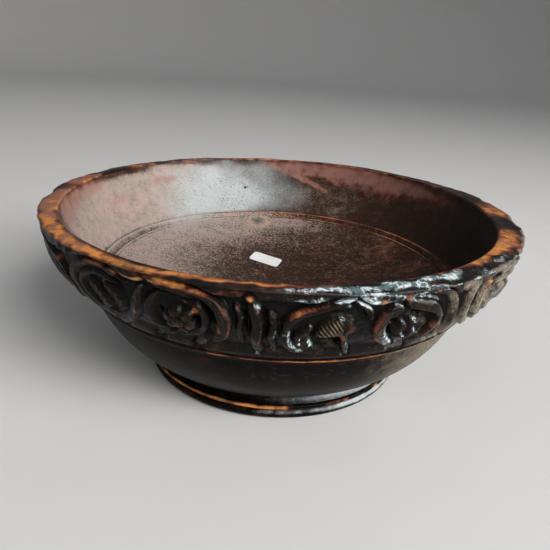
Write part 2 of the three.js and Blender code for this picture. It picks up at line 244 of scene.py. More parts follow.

# Carved places whose worn edges are pinkish or olive, and faces with painted highlights: silvery glints, and
# pale faces in the light
PINK_PLACES = (
    Patch(18.5, 28, 3, 16, 1.0), Patch(31, 34, 4, 9, 1.0), Patch(-9.5, 28, 3, 12, 0.7),
    Patch(1, 28, 2, 9, 0.8), Patch(-4.2, 33, 1.5, 6, 0.8), Patch(36, 36, 4, 12, 0.8),
    Patch(-27, 22, 4, 8, 0.3),
)
OLIVE_PLACES = (
    Patch(14, 31, 3.5, 8, 1.2), Patch(-24, 36, 10, 14, 0.7), Patch(-40, 30, 8, 16, 0.9),
    Patch(48, 30, 8, 20, 0.6),
)
HIGHLIGHT_PLACES = (
    Patch(21.2, 22, 2.2, 12, 1.1), Patch(15.0, 43.5, 3.8, 4, 1.0), Patch(4, 44, 7, 4, 0.75),
    Patch(5.6, 21, 2.4, 6, 0.42), Patch(27, 21, 3.2, 5, 0.6), Patch(26.8, 28, 2, 3, 0.5),
    Patch(-17.6, 24, 1.8, 3, 0.4), Patch(29, 44, 4, 3, 0.35), Patch(21.5, 44, 3, 4, 0.4),
    Patch(2.6, 20, 1.0, 10, 0.3), Patch(14.6, 16, 1.2, 8, 0.5),
)
LIT_FACES = (
    Patch(20.2, 28, 1.6, 8, 1.0), Patch(22.6, 17, 1.9, 6, 1.0), Patch(28, 43.5, 4.5, 3, 0.8),
    Patch(32, 37, 1.6, 6, 0.6), Patch(3.0, 32, 0.9, 7, 0.5), Patch(4.0, 24, 1.0, 4, 0.6),
    Patch(-7.6, 36, 1.6, 6, 0.5),
)

# Chips in the outer edge of the rim: azimuth, half width in degrees, depth
RIM_CHIPS = (
    (-85, 5.0, 1.9), (-68, 2.2, 1.0), (-33, 2.4, 1.0), (14, 1.8, 0.7), (66, 3.4, 0.9), (84, 4.0, 1.6),
    (104, 2.4, 1.0), (139, 3.0, 0.8), (-112, 3.4, 1.2), (-150, 2.0, 0.8),
)

# Where the finish of the wall has changed, with a painted sheen and painted light among them: azimuth,
# height, half angle, half height, strength
# Painted sheen: the reflection of the light on the wall at the back
WALL_SHEEN = (Patch(-156, 86, 26, 36, 1.0), Patch(-150, 74, 16, 14, 0.5), Patch(177, 87, 16, 26, 0.2))
# Scuffed polish, and painted light on the left of the wall, which faces the light
WALL_SCUFF_AND_LIGHT = (
    Patch(162, 82, 18, 24, 0.5), Patch(-104, 80, 40, 34, 1.4), Patch(-140, 80, 24, 30, 1.1),
    Patch(-142, 103, 10, 5, 0.6),
)
WALL_RED = (
    Patch(-82, 102, 9, 7, 1.6), Patch(-98, 104, 8, 5, 1.4), Patch(-134, 97, 9, 5, 0.8),
    Patch(-112, 91, 7, 5, 0.7), Patch(167, 105, 16, 5, 1.1), Patch(150, 101, 28, 11, 0.85),
    Patch(124, 103, 16, 5, 0.6),
)
WALL_STREAK = ((-175, 107.5), (177, 99.3), (167, 92.1), (161, 86))
# The same on the rim, with the share of its width from the inner edge in place of the height
RIM_BARE = (
    Patch(-42, 0.62, 33, 0.4, 1.35), Patch(-4, 0.32, 14, 0.22, 0.8), Patch(32, 0.05, 26, 0.09, 0.7),
    Patch(66, 0.45, 14, 0.55, 0.9), Patch(50, 0.2, 12, 0.2, 0.75), Patch(172, 0.1, 64, 0.16, 0.75),
    Patch(-125, 0.4, 6, 0.4, 0.8), Patch(-105, 0.35, 4, 0.4, 0.8), Patch(-84, 0.35, 20, 0.5, 1.4),
    Patch(92, 0.5, 6, 0.55, 0.85), Patch(122, 0.85, 26, 0.3, 0.5),
)
RIM_RED = (Patch(-84, 0.5, 22, 0.8, 1.0), Patch(172, 0.4, 60, 0.5, 0.8))
# Painted wet highlights of the polish on the rim
RIM_HIGHLIGHTS = (Patch(30, 0.68, 24, 0.55, 1.2), Patch(9, 0.95, 9, 0.35, 0.8), Patch(-90, 0.8, 6, 0.4, 0.5))
RIM_DARK = (
    Patch(81, 0.75, 5, 0.6, 1.0), Patch(-91, 0.5, 5, 0.5, 0.8), Patch(-8, 0.95, 8, 0.3, 0.8),
    Patch(-114, 0.5, 6, 0.6, 0.8), Patch(51, 0.75, 8, 0.25, 0.8),
)

# Soft arcs of the finish round the bowl, and of painted sheen, highlights, light and shade: azimuth, half
# angle, and how sharply they end
# Painted sheen on the ledge ring at the back left
LEDGE_SHEEN = Arc(-148, 34, 2)
# Painted shade on the right of the wall, which faces away from the light
WALL_SHADE = Arc(88, 36, 2)
RIM_SLUMP = Arc(28, 21, 2)
# Painted highlight along the rim's outer edge at the right
RIM_EDGE_HIGHLIGHT = Arc(70, 30, 4)
# Painted wet highlights on the border at the front right
BORDER_HIGHLIGHT = Arc(20, 17, 4)
FRONT_SHEEN = Arc(15, 22, 4)
OLIVE_BORDER = Arc(-25, 18, 4)
STEP_WORN = Arc(12, 36, 2)
STEP_PALE = Arc(36, 22, 2)
# Painted light on the belly's right, where the light falls
BELLY_LIGHT = Arc(50, 26, 2)
# Painted highlight in the cove at the front right
COVE_HIGHLIGHT = Arc(42, 34, 2)
# Foot: its right, with chips and painted highlights, and its front, with fainter painted highlights
FOOT_RIGHT = Arc(52, 30, 2)
FOOT_BEFORE = Arc(10, 34, 2)


def paint(red, green, blue):
    """A colour as a painter's 0 to 255 values, as the linear values of a shader."""
    def linear(value):
        share = value / 255
        return share / 12.92 if share <= 0.04045 else ((share + 0.055) / 1.055) ** 2.4
    return (linear(red), linear(green), linear(blue))


def length_property(name, description, default):
    return FloatProperty(name=name, description=description, default=default, min=0,
                         unit="LENGTH", subtype="DISTANCE")


def colour_property(name, description, default):
    return FloatVectorProperty(name=name, description=description, default=default, size=3,
                               min=0, max=1, subtype="COLOR")


def power_property(name, description, default):
    return FloatProperty(name=name, description=description, default=default, min=0, unit="POWER")


class BowlSizes(bpy.types.PropertyGroup):
    """Sizes of the bowl. Their defaults come from the frame."""
    height: length_property("Height", "From the resting plane to the top of the rim", BODY_HIGH.z)
    rim_side: length_property("Rim half width", "Half the rim's width from side to side", BODY_HIGH.x)
    rim_front: length_property("Rim half depth", "Half the rim's width from front to back", -BODY_LOW.y)
    carving_depth: length_property("Carving depth", "Depth of the ground between the motifs", 0.0052)
    border_width: length_property("Border width", "Width of the uncut border under the rim", 0.0046)
    foot_radius: length_property("Foot radius", "Half width of the foot ring's bead", FOOT_HIGH.x)
    foot_height: length_property("Foot height", "Height of the foot ring", FOOT_HIGH.z)


class BowlFinish(bpy.types.PropertyGroup):
    """Colours of the old finish, of the painted sheen, light and shade on it, of the wood under it and of
    the label.
    """
    stain: colour_property("Stain", "Dark stain that covers most of the wood", paint(52, 32, 19))
    varnish: colour_property("Old varnish", "Nearly black varnish outside", paint(24, 19, 16))
    red: colour_property("Red wood", "Reddish wood where the stain is thin", paint(132, 74, 56))
    bare: colour_property("Bare wood", "Wood where the finish has worn off", paint(212, 136, 72))
    # Colour of the painted sheen, reflections and glints of the polish
    bloom_and_sheen: colour_property("Bloom", "Bluish grey bloom of the old polish", paint(170, 177, 177))
    # Dark teal of the painted sheen of the polish on the carving
    teal: colour_property("Teal bloom", "Dark teal of the old polish on the carving", paint(86, 106, 109))
    # Pinkish grey for scuffed polish and for painted light
    scuff_and_light: colour_property("Scuffed polish", "Pinkish grey of scuffed polish", paint(166, 144, 136))
    # Greyish tan for dried polish and for the painted light on the carving's right and its lit faces
    dry_and_lit: colour_property("Dry wood", "Greyish tan of the carving where its polish has dried out",
                         paint(150, 143, 126))
    # Near black, for dirt and for painted shade
    grime_and_shade: colour_property("Grime", "Black dirt in the recesses", paint(12, 11, 11))
    paper: colour_property("Label", "Paper of the blank label", paint(244, 244, 242))


class BowlStage(bpy.types.PropertyGroup):
    """Floor and light round the bowl."""
    floor_radius: length_property("Floor radius", "Radius at which the floor starts to rise", 3.0)
    floor_colour: colour_property("Floor colour", "Plain pale floor and backdrop", paint(222, 221, 219))
    key_power: power_property("Key light", "Power of the large light at the front right", 24.5)
    fill_power: power_property("Fill light", "Power of the weak light at the left", 4.8)
    side_power: power_property("Side light", "Power of the low light at the right", 5.5)
    room_light: FloatProperty(name="Room light", description="Strength of the even light all round",
                              default=0.2, min=0, max=1, subtype="FACTOR")


def smooth_step(low, high, value):
    share = np.clip((value - low) / (high - low), 0, 1)
    return share * share * (3 - 2 * share)


def hills(points, size, salt):
    """Smooth random values from -1 to 1 over points in millimetres, with hills about size apart."""
    table = np.random.default_rng(salt).uniform(-1, 1, (NOISE_CELLS,) * 3)
    place = points / size
    cell = np.floor(place).astype(int)
    part = place - cell
    part = part * part * (3 - 2 * part)
    value = np.zeros(points.shape[:-1])
    for corner in itertools.product((0, 1), repeat=3):
        weight = np.prod(np.where(corner, part, 1 - part), axis=-1)
        i, j, k = np.moveaxis((cell + corner) % NOISE_CELLS, -1, 0)
        value += weight * table[i, j, k]
    return value


def rough(points, size, salt, octaves=3):
    """Hills with smaller hills on them."""
    return sum(hills(points, size / 2 ** step, salt + step) / 2 ** step for step in range(octaves))


def column_azimuths(count):
    share = 2 * np.pi * np.arange(count) / count
    return np.degrees(share - FRONT_FINENESS * np.sin(share))


def oval(azimuths, side, height, front=None, shift=0.0):
    """Points of rings, a row for each. Side and front are half widths along X and Y, equal unless given."""
    angle = np.radians(azimuths)
    front = side if front is None else front
    side, front, height, shift = (np.asarray(value, float).reshape(-1, 1) if np.ndim(value) < 2 else value
                                  for value in (side, front, height, shift))
    x = side * np.sin(angle) + shift
    y = -front * np.cos(angle)
    return np.stack(np.broadcast_arrays(x, y, height), axis=-1)


def bent_line(start, control, end, shares):
    """Points of a curve from start to end that bends towards control."""
    t = np.asarray(shares, float)[:, None]
    start, control, end = (np.array(place, float) for place in (start, control, end))
    return (1 - t) ** 2 * start + 2 * (1 - t) * t * control + t ** 2 * end


def swollen_curve(start, end, swell, shares):
    """Points of a curve that stands out by swell to the right of the line from start to end."""
    start, end = np.array(start, float), np.array(end, float)
    along = (end - start) / np.linalg.norm(end - start)
    control = (start + end) / 2 + 2 * swell * np.array([along[1], -along[0]])
    return bent_line(start, control, end, shares)


def swollen_curve(start, end, swell, shares):
    """Points of a curve that stands out by swell to the right of the line from start to end."""
    start, end = np.array(start, float), np.array(end, float)
    along = (end - start) / np.linalg.norm(end - start)
    control = (start + end) / 2 + 2 * swell * np.array([along[1], -along[0]])
    t = np.asarray(shares, float)[:, None]
    return (1 - t) ** 2 * start + 2 * (1 - t) * t * control + t ** 2 * end


def even_steps(curve, count):
    """Places spaced evenly along a curve, with its direction there and its length."""
    steps = np.linalg.norm(np.diff(curve, axis=0), axis=1)
    length = np.concatenate([[0], np.cumsum(steps)])
    wanted = np.linspace(0, length[-1], count)
    places = np.stack([np.interp(wanted, length, curve[:, axis]) for axis in (0, 1)], axis=1)
    direction = np.gradient(places, wanted, axis=0)
    return places, direction / np.linalg.norm(direction, axis=1, keepdims=True), length[-1]


def quarter_round(start, end, corner, count):
    """Points of a rounded corner between two places, bulging towards the sharp corner."""
    return bent_line(start, corner, end, np.linspace(0, 1, count))


def turn_between(azimuths, azimuth):
    return (np.asarray(azimuths) - azimuth + 180) % 360 - 180


def bell(values, middle, width, sharpness=2):
    """1 at the middle, falling to 0 on both sides."""
    return np.exp(-((values - middle) / width) ** sharpness)


def on_arc(azimuths, arc):
    """1 in the middle of an arc, falling to 0 past its ends."""
    return bell(turn_between(azimuths, arc.azimuth), 0, arc.half_angle, arc.sharpness)


def blur(values, reach, weight):
    """Mean of each value and its neighbours at reach, along the rows and then across them."""
    values = (np.roll(values, reach, 1) + weight * values + np.roll(values, -reach, 1)) / (weight + 2)
    padded = np.pad(values, ((reach, reach), (0, 0)), mode="edge")
    return (padded[:-2 * reach] + weight * values + padded[2 * reach:]) / (weight + 2)


def patch_share(patches, azimuths, heights):
    """Sum of soft patches over a grid of azimuths and heights."""
    total = np.zeros(np.broadcast(azimuths, heights).shape)
    for patch in patches:
        across = turn_between(azimuths, patch.azimuth) / patch.half_angle
        up = (heights - patch.height) / patch.half_height
        total += patch.strength * np.exp(-across ** 2 - up ** 2)
    return total


def lens(share):
    """Width of a shape with two points along its length, as a share of its widest."""
    return np.sin(np.pi * np.clip(share, 0.02, 0.98))


def smooth_path(points, spacing=1.2):
    """Places along a smooth curve through the given azimuths and rises, in millimetres."""
    knots = np.array(points, float) * (MM_PER_DEGREE, 1.0)
    knots = np.vstack([2 * knots[0] - knots[1], knots, 2 * knots[-1] - knots[-2]])
    places = []
    for before, start, end, after in zip(knots, knots[1:], knots[2:], knots[3:]):
        count = max(2, int(np.linalg.norm(end - start) / spacing))
        t = np.arange(count)[:, None] / count
        places.append(0.5 * (2 * start + (end - before) * t
                             + (2 * before - 5 * start + 4 * end - after) * t ** 2
                             + (3 * start - before - 3 * end + after) * t ** 3))
    return np.vstack([*places, knots[-2][None]])


def distance_to_path(x, y, path):
    """Distance of grid points to a path, positive on its left, and the share of its length there."""
    starts, steps = path[:-1], np.diff(path, axis=0)
    lengths = np.linalg.norm(steps, axis=1)
    walked = np.concatenate([[0], np.cumsum(lengths)])
    nearest = np.full(x.shape, np.inf)
    share = np.zeros(x.shape)
    side = np.ones(x.shape)
    for start, step, length, before in zip(starts, steps, lengths, walked):
        off_x, off_y = x - start[0], y - start[1]
        t = np.clip((off_x * step[0] + off_y * step[1]) / length ** 2, 0, 1)
        distance = np.hypot(off_x - t * step[0], off_y - t * step[1])
        closer = distance < nearest
        nearest = np.where(closer, distance, nearest)
        share = np.where(closer, before + t * length, share)
        side = np.where(closer, np.sign(step[0] * off_y - step[1] * off_x), side)
    return nearest * side, share / walked[-1]


class Carving:
    """The unrolled band: how far each point stands above or below the full surface, and its wear."""

    def __init__(self, azimuths, rises, places, depth, border):
        self.azimuths = azimuths
        self.rises = rises
        self.places = places
        self.depth = depth
        self.border = border
        shape = places.shape[:2]
        self.relief, self.bare, self.ribbed, self.rib_place = (np.zeros(shape) for _ in range(4))

    def windows(self, azimuth, rise, reach):
        """Columns within reach of a motif, for each of its repeats, with places measured from its middle."""
        for copy in range(REPEATS):
            along = turn_between(self.azimuths, azimuth + copy * REPEAT_ANGLE) * MM_PER_DEGREE
            columns = np.nonzero(np.abs(along) < reach)[0]
            x, y = np.meshgrid(along[columns], self.rises - rise)
            yield columns, x, y

    def along_path(self, points, reach):
        path = smooth_path(points)
        middle = (path[:, 0].min() + path[:, 0].max()) / 2
        span = path[:, 0].max() - middle + reach
        for columns, x, y in self.windows(middle / MM_PER_DEGREE, 0, span):
            yield columns, *distance_to_path(x + middle, y, path)

    def raise_to(self, columns, height, inside):
        self.relief[:, columns] += (height - self.relief[:, columns]) * inside

    def sink(self, columns, depth, inside):
        self.relief[:, columns] -= depth * inside
        self.wear(columns, 0, inside)

    def wear(self, columns, share, inside):
        self.bare[:, columns] += (share - self.bare[:, columns]) * inside

    def clear_round(self, columns, distance, edge):
        """Cuts the ground round a motif, so that it stands clear of its neighbours."""
        inside = smooth_step(edge + 1.2, edge - 0.7, distance)
        self.raise_to(columns, np.minimum(self.relief[:, columns], -self.depth - 0.4), inside)

    def wobble(self, size, salt, columns=slice(None)):
        return hills(self.places[:, columns], size, salt)

    def cut_ground(self, band_rise):
        rise = self.rises[:, None]
        ground = self.depth + 0.6 * self.wobble(7, 1) + 0.3 * self.wobble(2.4, 2)
        border = self.border + 1.2 * self.wobble(14, 3) + 0.7 * self.wobble(5, 4)
        self.cove = smooth_step(0.6, COVE_RISE, rise)
        self.under_border = smooth_step(band_rise - border + 0.9, band_rise - border - 1.1, rise)
        self.relief = -ground * self.cove * self.under_border

    def cut_stem(self, stem):
        """A ribbon with a hollowed face, which stands higher and is worn along one edge."""
        channel = 0.5 * smooth_step(1.5, 3.0, stem.half_width)
        for columns, signed, share in self.along_path(stem.points, stem.half_width + 4):
            distance = np.abs(signed)
            ends = smooth_step(0, 0.12, share) * smooth_step(1, 0.9, share)
            half = stem.half_width * (0.55 + 0.45 * ends) * (1 + 0.16 * self.wobble(7, 5, columns))
            self.clear_round(columns, distance, half + 0.9)
            inside = smooth_step(half + 1.0, half - 0.9, distance)
            across = signed * stem.side / half
            crown = -stem.crown - 0.6 * across ** 4 - 0.55 * (1 - across)
            crown += 0.45 * self.wobble(5, 6, columns) - channel * bell(across, -0.1, 0.4)
            self.raise_to(columns, np.minimum(crown, 0.2), inside)
            self.wear(columns, stem.bare * smooth_step(0.35, 0.95, across), inside)

    def cut_leaf(self, leaf):
        """A pointed leaf with a sunk middle vein and ribs at its sides."""
        for columns, signed, share in self.along_path(leaf.points, leaf.half_width + 3):
            distance = np.abs(signed)
            half = leaf.half_width * (0.25 + 0.75 * lens(share) ** 0.7)
            inside = smooth_step(half + 0.5, half - 0.8, distance)
            vein = smooth_step(1.3, 0.2, distance)
            side_veins = 0.35 * np.cos(2 * np.pi * (5.5 * share + 0.8 * distance / leaf.half_width))
            crown = -leaf.crown - 1.4 * (distance / half) ** 2 - 0.8 * vein + side_veins
            self.raise_to(columns, crown, inside)
            self.wear(columns, leaf.bare, inside)

    def cut_flower(self, flower):
        """Petals that fall away from a raised eye, with sunk seams between them."""
        for columns, x, y in self.windows(flower.azimuth, flower.rise, flower.radius + 4):
            reach = np.hypot(x, y)
            angle = np.arctan2(y, x) - math.radians(flower.turn)
            lobe = np.abs(np.cos(angle * flower.petals / 2))
            edge = flower.radius * (0.66 + 0.34 * np.sqrt(lobe))
            inside = smooth_step(edge + 0.5, edge - 0.9, reach)
            seam = smooth_step(0.42, 0, lobe) * smooth_step(1.2, 3.4, reach)
            fall = smooth_step(0.25, 1, reach / flower.radius) * (0.4 + 0.6 * lobe)
            eye = 0.9 * smooth_step(3.2, 1.4, reach) - 1.6 * smooth_step(1, 0, np.abs(reach - 3.3))
            self.raise_to(columns, -1 - 1.5 * fall - 2.2 * seam + eye, inside)
            self.wear(columns, 0.2, inside)

    def cut_shell(self, shell):
        """A wide fan, ribbed on its left, with a plain lobe at its right."""
        middle = (shell.first_angle + shell.last_angle) / 2
        spread = (shell.last_angle - shell.first_angle) / 2
        for columns, x, y in self.windows(shell.azimuth, shell.rise, 1.4 * shell.reach + 4):
            place = x + 0.62 * y + 0.012 * x ** 2
            x = x * np.where(x < 0, 0.74, 1.3)
            reach = np.hypot(x, y)
            angle = np.degrees(np.arctan2(y, x)) % 360
            off = np.clip(np.abs(angle - middle) / spread, 0, 2)
            edge = shell.reach * (1 - 0.12 * off ** 2)
            inside = smooth_step(edge + 0.7, edge - 0.9, reach) * smooth_step(1.06, 0.92, off)
            ribbed = smooth_step(92, 106, angle) * smooth_step(1.0, 3.0, reach)
            dome = -0.8 - 1.8 * (reach / shell.reach - 0.55) ** 2
            wave = np.cos(2 * np.pi * place / RIB_SPACING)
            self.raise_to(columns, dome + 0.15 * wave * ribbed - 0.9 * bell(angle, 92, 9), inside)
            self.wear(columns, 0.1, inside)
            self.ribbed[:, columns] += ribbed * smooth_step(edge, edge - 1.6, reach) * inside
            self.rib_place[:, columns] = np.where(reach < 1.3 * shell.reach, 0.5 + place / RIB_SPREAD / 2,
                                                  self.rib_place[:, columns])

    def cut_knob(self, knob):
        for columns, x, y in self.windows(knob.azimuth, knob.rise, knob.radius + 4):
            reach = np.hypot(x, y) + 0.8 * self.wobble(2.6, 14, columns)
            self.clear_round(columns, reach, knob.radius - 0.2)
            inside = smooth_step(knob.radius + 0.6, knob.radius - 0.8, reach)
            self.raise_to(columns, -0.4 - 0.8 * (reach / knob.radius) ** 2, inside)
            self.wear(columns, 0.95, smooth_step(knob.radius, 0, reach))

    def drill(self, hole):
        for columns, x, y in self.windows(hole.azimuth, hole.rise, hole.radius + 3):
            inside = smooth_step(hole.radius + 0.6, hole.radius - 0.6, np.hypot(x, y))
            self.sink(columns, hole.depth, inside)

    def slit(self, slit):
        for columns, signed, share in self.along_path(slit.points, slit.half_width + 3):
            half = slit.half_width * (0.3 + 0.7 * lens(share))
            self.sink(columns, slit.depth, smooth_step(half + 0.5, half - 0.5, np.abs(signed)))

    def rub(self, spot):
        for columns, x, y in self.windows(spot.azimuth, spot.rise, spot.radius + 3):
            reach = np.hypot(x, y) + 0.5 * self.wobble(3.2, 11, columns)
            inside = smooth_step(spot.radius + 0.4, spot.radius - 0.6, reach)
            self.wear(columns, spot.depth, inside)
            self.grime_and_shade[:, columns] *= 1 - 0.9 * inside

    def age(self):
        """Rounds, dents and roughens the carving, rubs the wood bare on its high edges, darkens its recesses
        and creases, and marks the faces turned to the right and upward for painted highlights.
        """
        self.relief += (0.34 * self.wobble(4.4, 7) + 0.16 * self.wobble(2.4, 12)) * self.cove
        border = 1 - self.under_border
        self.relief += border * (0.7 * self.wobble(6, 8) + 0.45 * self.wobble(2.6, 9) - 0.4)
        self.relief = np.clip(self.relief, -self.depth - 3.4, 0.6)
        beside = bell(np.abs(turn_between(self.azimuths, 0)), SHALLOW_TURN, SHALLOW_HALF_ANGLE)
        self.relief *= 1 - 0.62 * beside * smooth_step(46, 20, self.rises[:, None])
        self.relief *= 1 - 0.4 * beside
        self.relief = 0.35 * self.relief + 0.65 * blur(self.relief, 1, 2)
        blurred = self.relief
        for reach in (1, 2, 3):
            blurred = blur(blurred, reach, 1)
        stands_out = self.relief - blurred
        patchy = 0.5 + 0.5 * rough(self.places, 10, 13, 2)
        edges = smooth_step(0.2, 0.9, stands_out) * smooth_step(-3.6, -1.2, self.relief)
        self.bare = self.bare * (0.35 + 0.8 * patchy) * (0.5 + 0.6 * edges) + 0.35 * edges * patchy
        # Faces turned to the right and upward, on which painted highlights and sheen are laid
        aside = np.gradient(self.relief, axis=1) / (np.gradient(self.azimuths) * MM_PER_DEGREE)
        upward = np.gradient(self.relief, self.rises, axis=0)
        self.sheen = smooth_step(0.2, 0.9, -0.75 * aside - 0.5 * upward) * (1 - 0.5 * self.bare)
        # The recesses and creases are darkened
        low = smooth_step(-2.4, -self.depth, self.relief)
        self.grime_and_shade = np.clip(0.8 * low + 0.6 * smooth_step(-0.25, -1.1, stands_out), 0, 1)
        self.bare = 0.25 * self.bare + 0.75 * blur(self.bare, 1, 2)


def carve(azimuths, rises, places, depth, border, band_rise):
    """Cuts the ground and then the motifs, and ages and rubs the whole."""
    carving = Carving(azimuths, rises, places, depth, border)
    carving.cut_ground(band_rise)
    for cut, motifs in ((carving.cut_stem, STEMS), (carving.cut_leaf, LEAVES), (carving.cut_flower, FLOWERS),
                        (carving.cut_shell, SHELLS), (carving.cut_knob, KNOBS), (carving.drill, HOLES),
                        (carving.slit, SLITS)):
        for motif in motifs:
            cut(motif)
    carving.age()
    for spot in RUBBED_SPOTS:
        carving.rub(spot)
    return carving


def bridge(start_a, count_a, start_b, count_b):
    """Faces between two rings of points, of which one may be three times as fine as the other."""
    a = start_a + np.arange(count_a + 1) % count_a
    b = start_b + np.arange(count_b + 1) % count_b
    if count_a == count_b:
        corners = ((a[:-1], b[:-1], b[1:], a[1:]),)
    elif count_a < count_b:
        corners = ((a[:-1], b[:-1:3], b[1::3]), (a[1:], b[2::3], b[3::3]), (a[:-1], b[1::3], b[2::3], a[1:]))
    else:
        corners = ((a[:-1:3], b[:-1], a[1::3]), (a[2::3], b[1:], a[3::3]), (a[1::3], b[:-1], b[1:], a[2::3]))
    return [face for ring in corners for face in np.stack(ring, axis=1).tolist()]


def fan(pole, start, count, from_pole):
    here = start + np.arange(count)
    following = start + (np.arange(count) + 1) % count
    ends = (here, following) if from_pole else (following, here)
    return np.stack([np.full(count, pole), *ends], axis=1).tolist()


def new_piece(name, points, faces, looks, materials, finish):
    """A smooth closed mesh from points in millimetres, with a finish value for each point."""
    mesh = bpy.data.meshes.new(name)
    mesh.from_pydata((points * MM).tolist(), [], faces)
    for material in materials:
        mesh.materials.append(material)
    mesh.polygons.foreach_set("material_index", looks)
    mesh.polygons.foreach_set("use_smooth", [True] * len(faces))
    for key, values in finish.items():
        mesh.attributes.new(key, "FLOAT", "POINT").data.foreach_set("value", values.astype(np.float32))
    mesh.update()
    piece = bpy.data.objects.new(name, mesh)
    bpy.context.scene.collection.objects.link(piece)
    return piece


def skin_over(name, sheets, poles, materials):
    """A closed skin over sheets of rings, which run from the first pole to the last."""
    rings = [(ring, sheet.look) for sheet in sheets for ring in sheet.points]
    points = np.vstack([poles[0], *(ring for ring, _ in rings), poles[-1]])
    finish = {}
    for key in FINISHES:
        values = np.concatenate([np.broadcast_to(sheet.finish.get(key, 0.0), sheet.points.shape[:2]).ravel()
                                 for sheet in sheets])
        finish[key] = np.clip(np.concatenate([values[:1], values, values[-1:]]), 0, 1)
    starts = np.cumsum([1] + [len(ring) for ring, _ in rings])
    faces = fan(0, 1, len(rings[0][0]), True)
    looks = [rings[0][1]] * len(faces)
    for index, ((ring, _), (following, look)) in enumerate(zip(rings, rings[1:])):
        strip = bridge(starts[index], len(ring), starts[index + 1], len(following))
        faces += strip
        looks += [look] * len(strip)
    last = fan(len(points) - 1, starts[-2], len(rings[-1][0]), False)
    return new_piece(name, points, faces + last, looks + [rings[-1][1]] * len(last), materials, finish)


def loop_over(name, rings, materials, finish):
    """A closed ring-shaped skin over rings whose profile closes on itself."""
    shape = rings.shape[:2]
    rows, count = shape
    faces = []
    for row in range(rows):
        faces += bridge(row * count, count, (row + 1) % rows * count, count)
    values = {key: np.clip(np.broadcast_to(value, shape), 0, 1).ravel() for key, value in finish.items()}
    return new_piece(name, rings.reshape(-1, 3), faces, [0] * len(faces), materials, values)


def floor_height(radius):
    return DISH_EDGE_HEIGHT - DISH_DEPTH * (1 - (radius / DISH_EDGE) ** 2)


def dish_sheet(azimuths):
    """Shallow dish of the floor, with faint turning ripples, paler with scuffs and a painted sheen at the
    left and the back.
    """
    radius = np.concatenate([np.linspace(4, DISH_EDGE - 3, 16), [DISH_EDGE - 1.2, DISH_EDGE - 0.3]])
    rings = oval(azimuths, radius, floor_height(radius) + 0.05 * np.sin(radius * 1.9))
    x, y = rings[..., 0], rings[..., 1]
    # Paler at the left: scuffed polish with a painted reflection, strongest near the edge
    left = smooth_step(-20, -84, x - 0.14 * y + 14 * hills(rings, 30, 24))
    near_edge = smooth_step(0.80, 0.95, radius / DISH_EDGE)[:, None]
    front = 1 - 0.3 * smooth_step(10, -40, y) * (1 - near_edge)
    # A painted sheen at the back of the dish, strongest along its edge
    edge = near_edge * smooth_step(20, 70, y)
    back = (0.38 * smooth_step(56, 82, y) + 0.75 * edge) * smooth_step(75, -20, x)
    scuffed_and_sheen = left * front * (0.68 + 0.5 * near_edge + 0.3 * hills(rings, 24, 20))
    warm = smooth_step(0, 60, x) * (0.22 + 0.3 * hills(rings * (0.2, 1, 1), 9, 21))
    return Sheet(rings, {
        "scuff_and_light": scuffed_and_sheen + back + 0.12 * smooth_step(20, -40, x) + 0.04,
        "red": 0.2 + warm,
        "bloom_and_sheen": 0.22 * edge * smooth_step(20, -60, x) + 0.22 * near_edge * left,
    }, DISH_WOOD)


def ledge_groove(radius):
    """1 in the fine groove between the two beads."""
    return bell(radius - LEDGE_RADIUS, -GROOVE_INSET, GROOVE_WIDTH)


def bead_height(radius):
    """Height of the ring with its two fine beads, between the dish and the wall."""
    share = (radius - DISH_EDGE) / BEAD_RING_WIDTH
    height = DISH_EDGE_HEIGHT + BEAD_RING_DROP * smooth_step(0.45, 0.8, share)
    for middle, half_width, rise in (INNER_BEAD, OUTER_BEAD):
        height = height + rise * np.sqrt(np.clip(1 - ((radius - middle) / half_width) ** 2, 0, 1))
    return height - GROOVE_DEPTH * ledge_groove(radius)


def ledge_sheet(azimuths):
    """Ring with the two beads, which are rubbed bare and, at the left, pale with a painted sheen."""
    radius = np.linspace(DISH_EDGE, LEDGE_RADIUS, 18)
    rings = oval(azimuths, radius, bead_height(radius))
    x, y = rings[..., 0], rings[..., 1]
    on_bead = sum(bell(radius, middle, 0.7 * half_width, 4)
                  for middle, half_width, _ in (INNER_BEAD, OUTER_BEAD))[:, None]
    lit = 0.75 + 0.35 * hills(rings, 30, 22)
    left = smooth_step(20, -70, x)
    pale_in_light = smooth_step(-44, -72, x)
    shaded = 1 - 0.6 * smooth_step(50, 100, x - y)
    back = smooth_step(60, -20, x) * smooth_step(50, 100, y)
    return Sheet(rings, {
        "bare": 1.3 * on_bead * lit * shaded * (1 - pale_in_light),
        "grime_and_shade": 0.5 * ledge_groove(radius)[:, None] * lit * (1 - 0.6 * pale_in_light),
        "scuff_and_light": left * (0.6 + 0.8 * on_bead) + 0.5 * back,
        "bloom_and_sheen": 0.45 * on_arc(azimuths, LEDGE_SHEEN) + 0.55 * on_bead * pale_in_light,
        "red": 0.3,
    }, DISH_WOOD)


def unevenly_turned(rings, share, size, salt):
    """Rings that run a little wide and narrow, by up to a share of their width."""
    return rings + rings * (1, 1, 0) * (share * hills(rings, size, salt))[..., None]


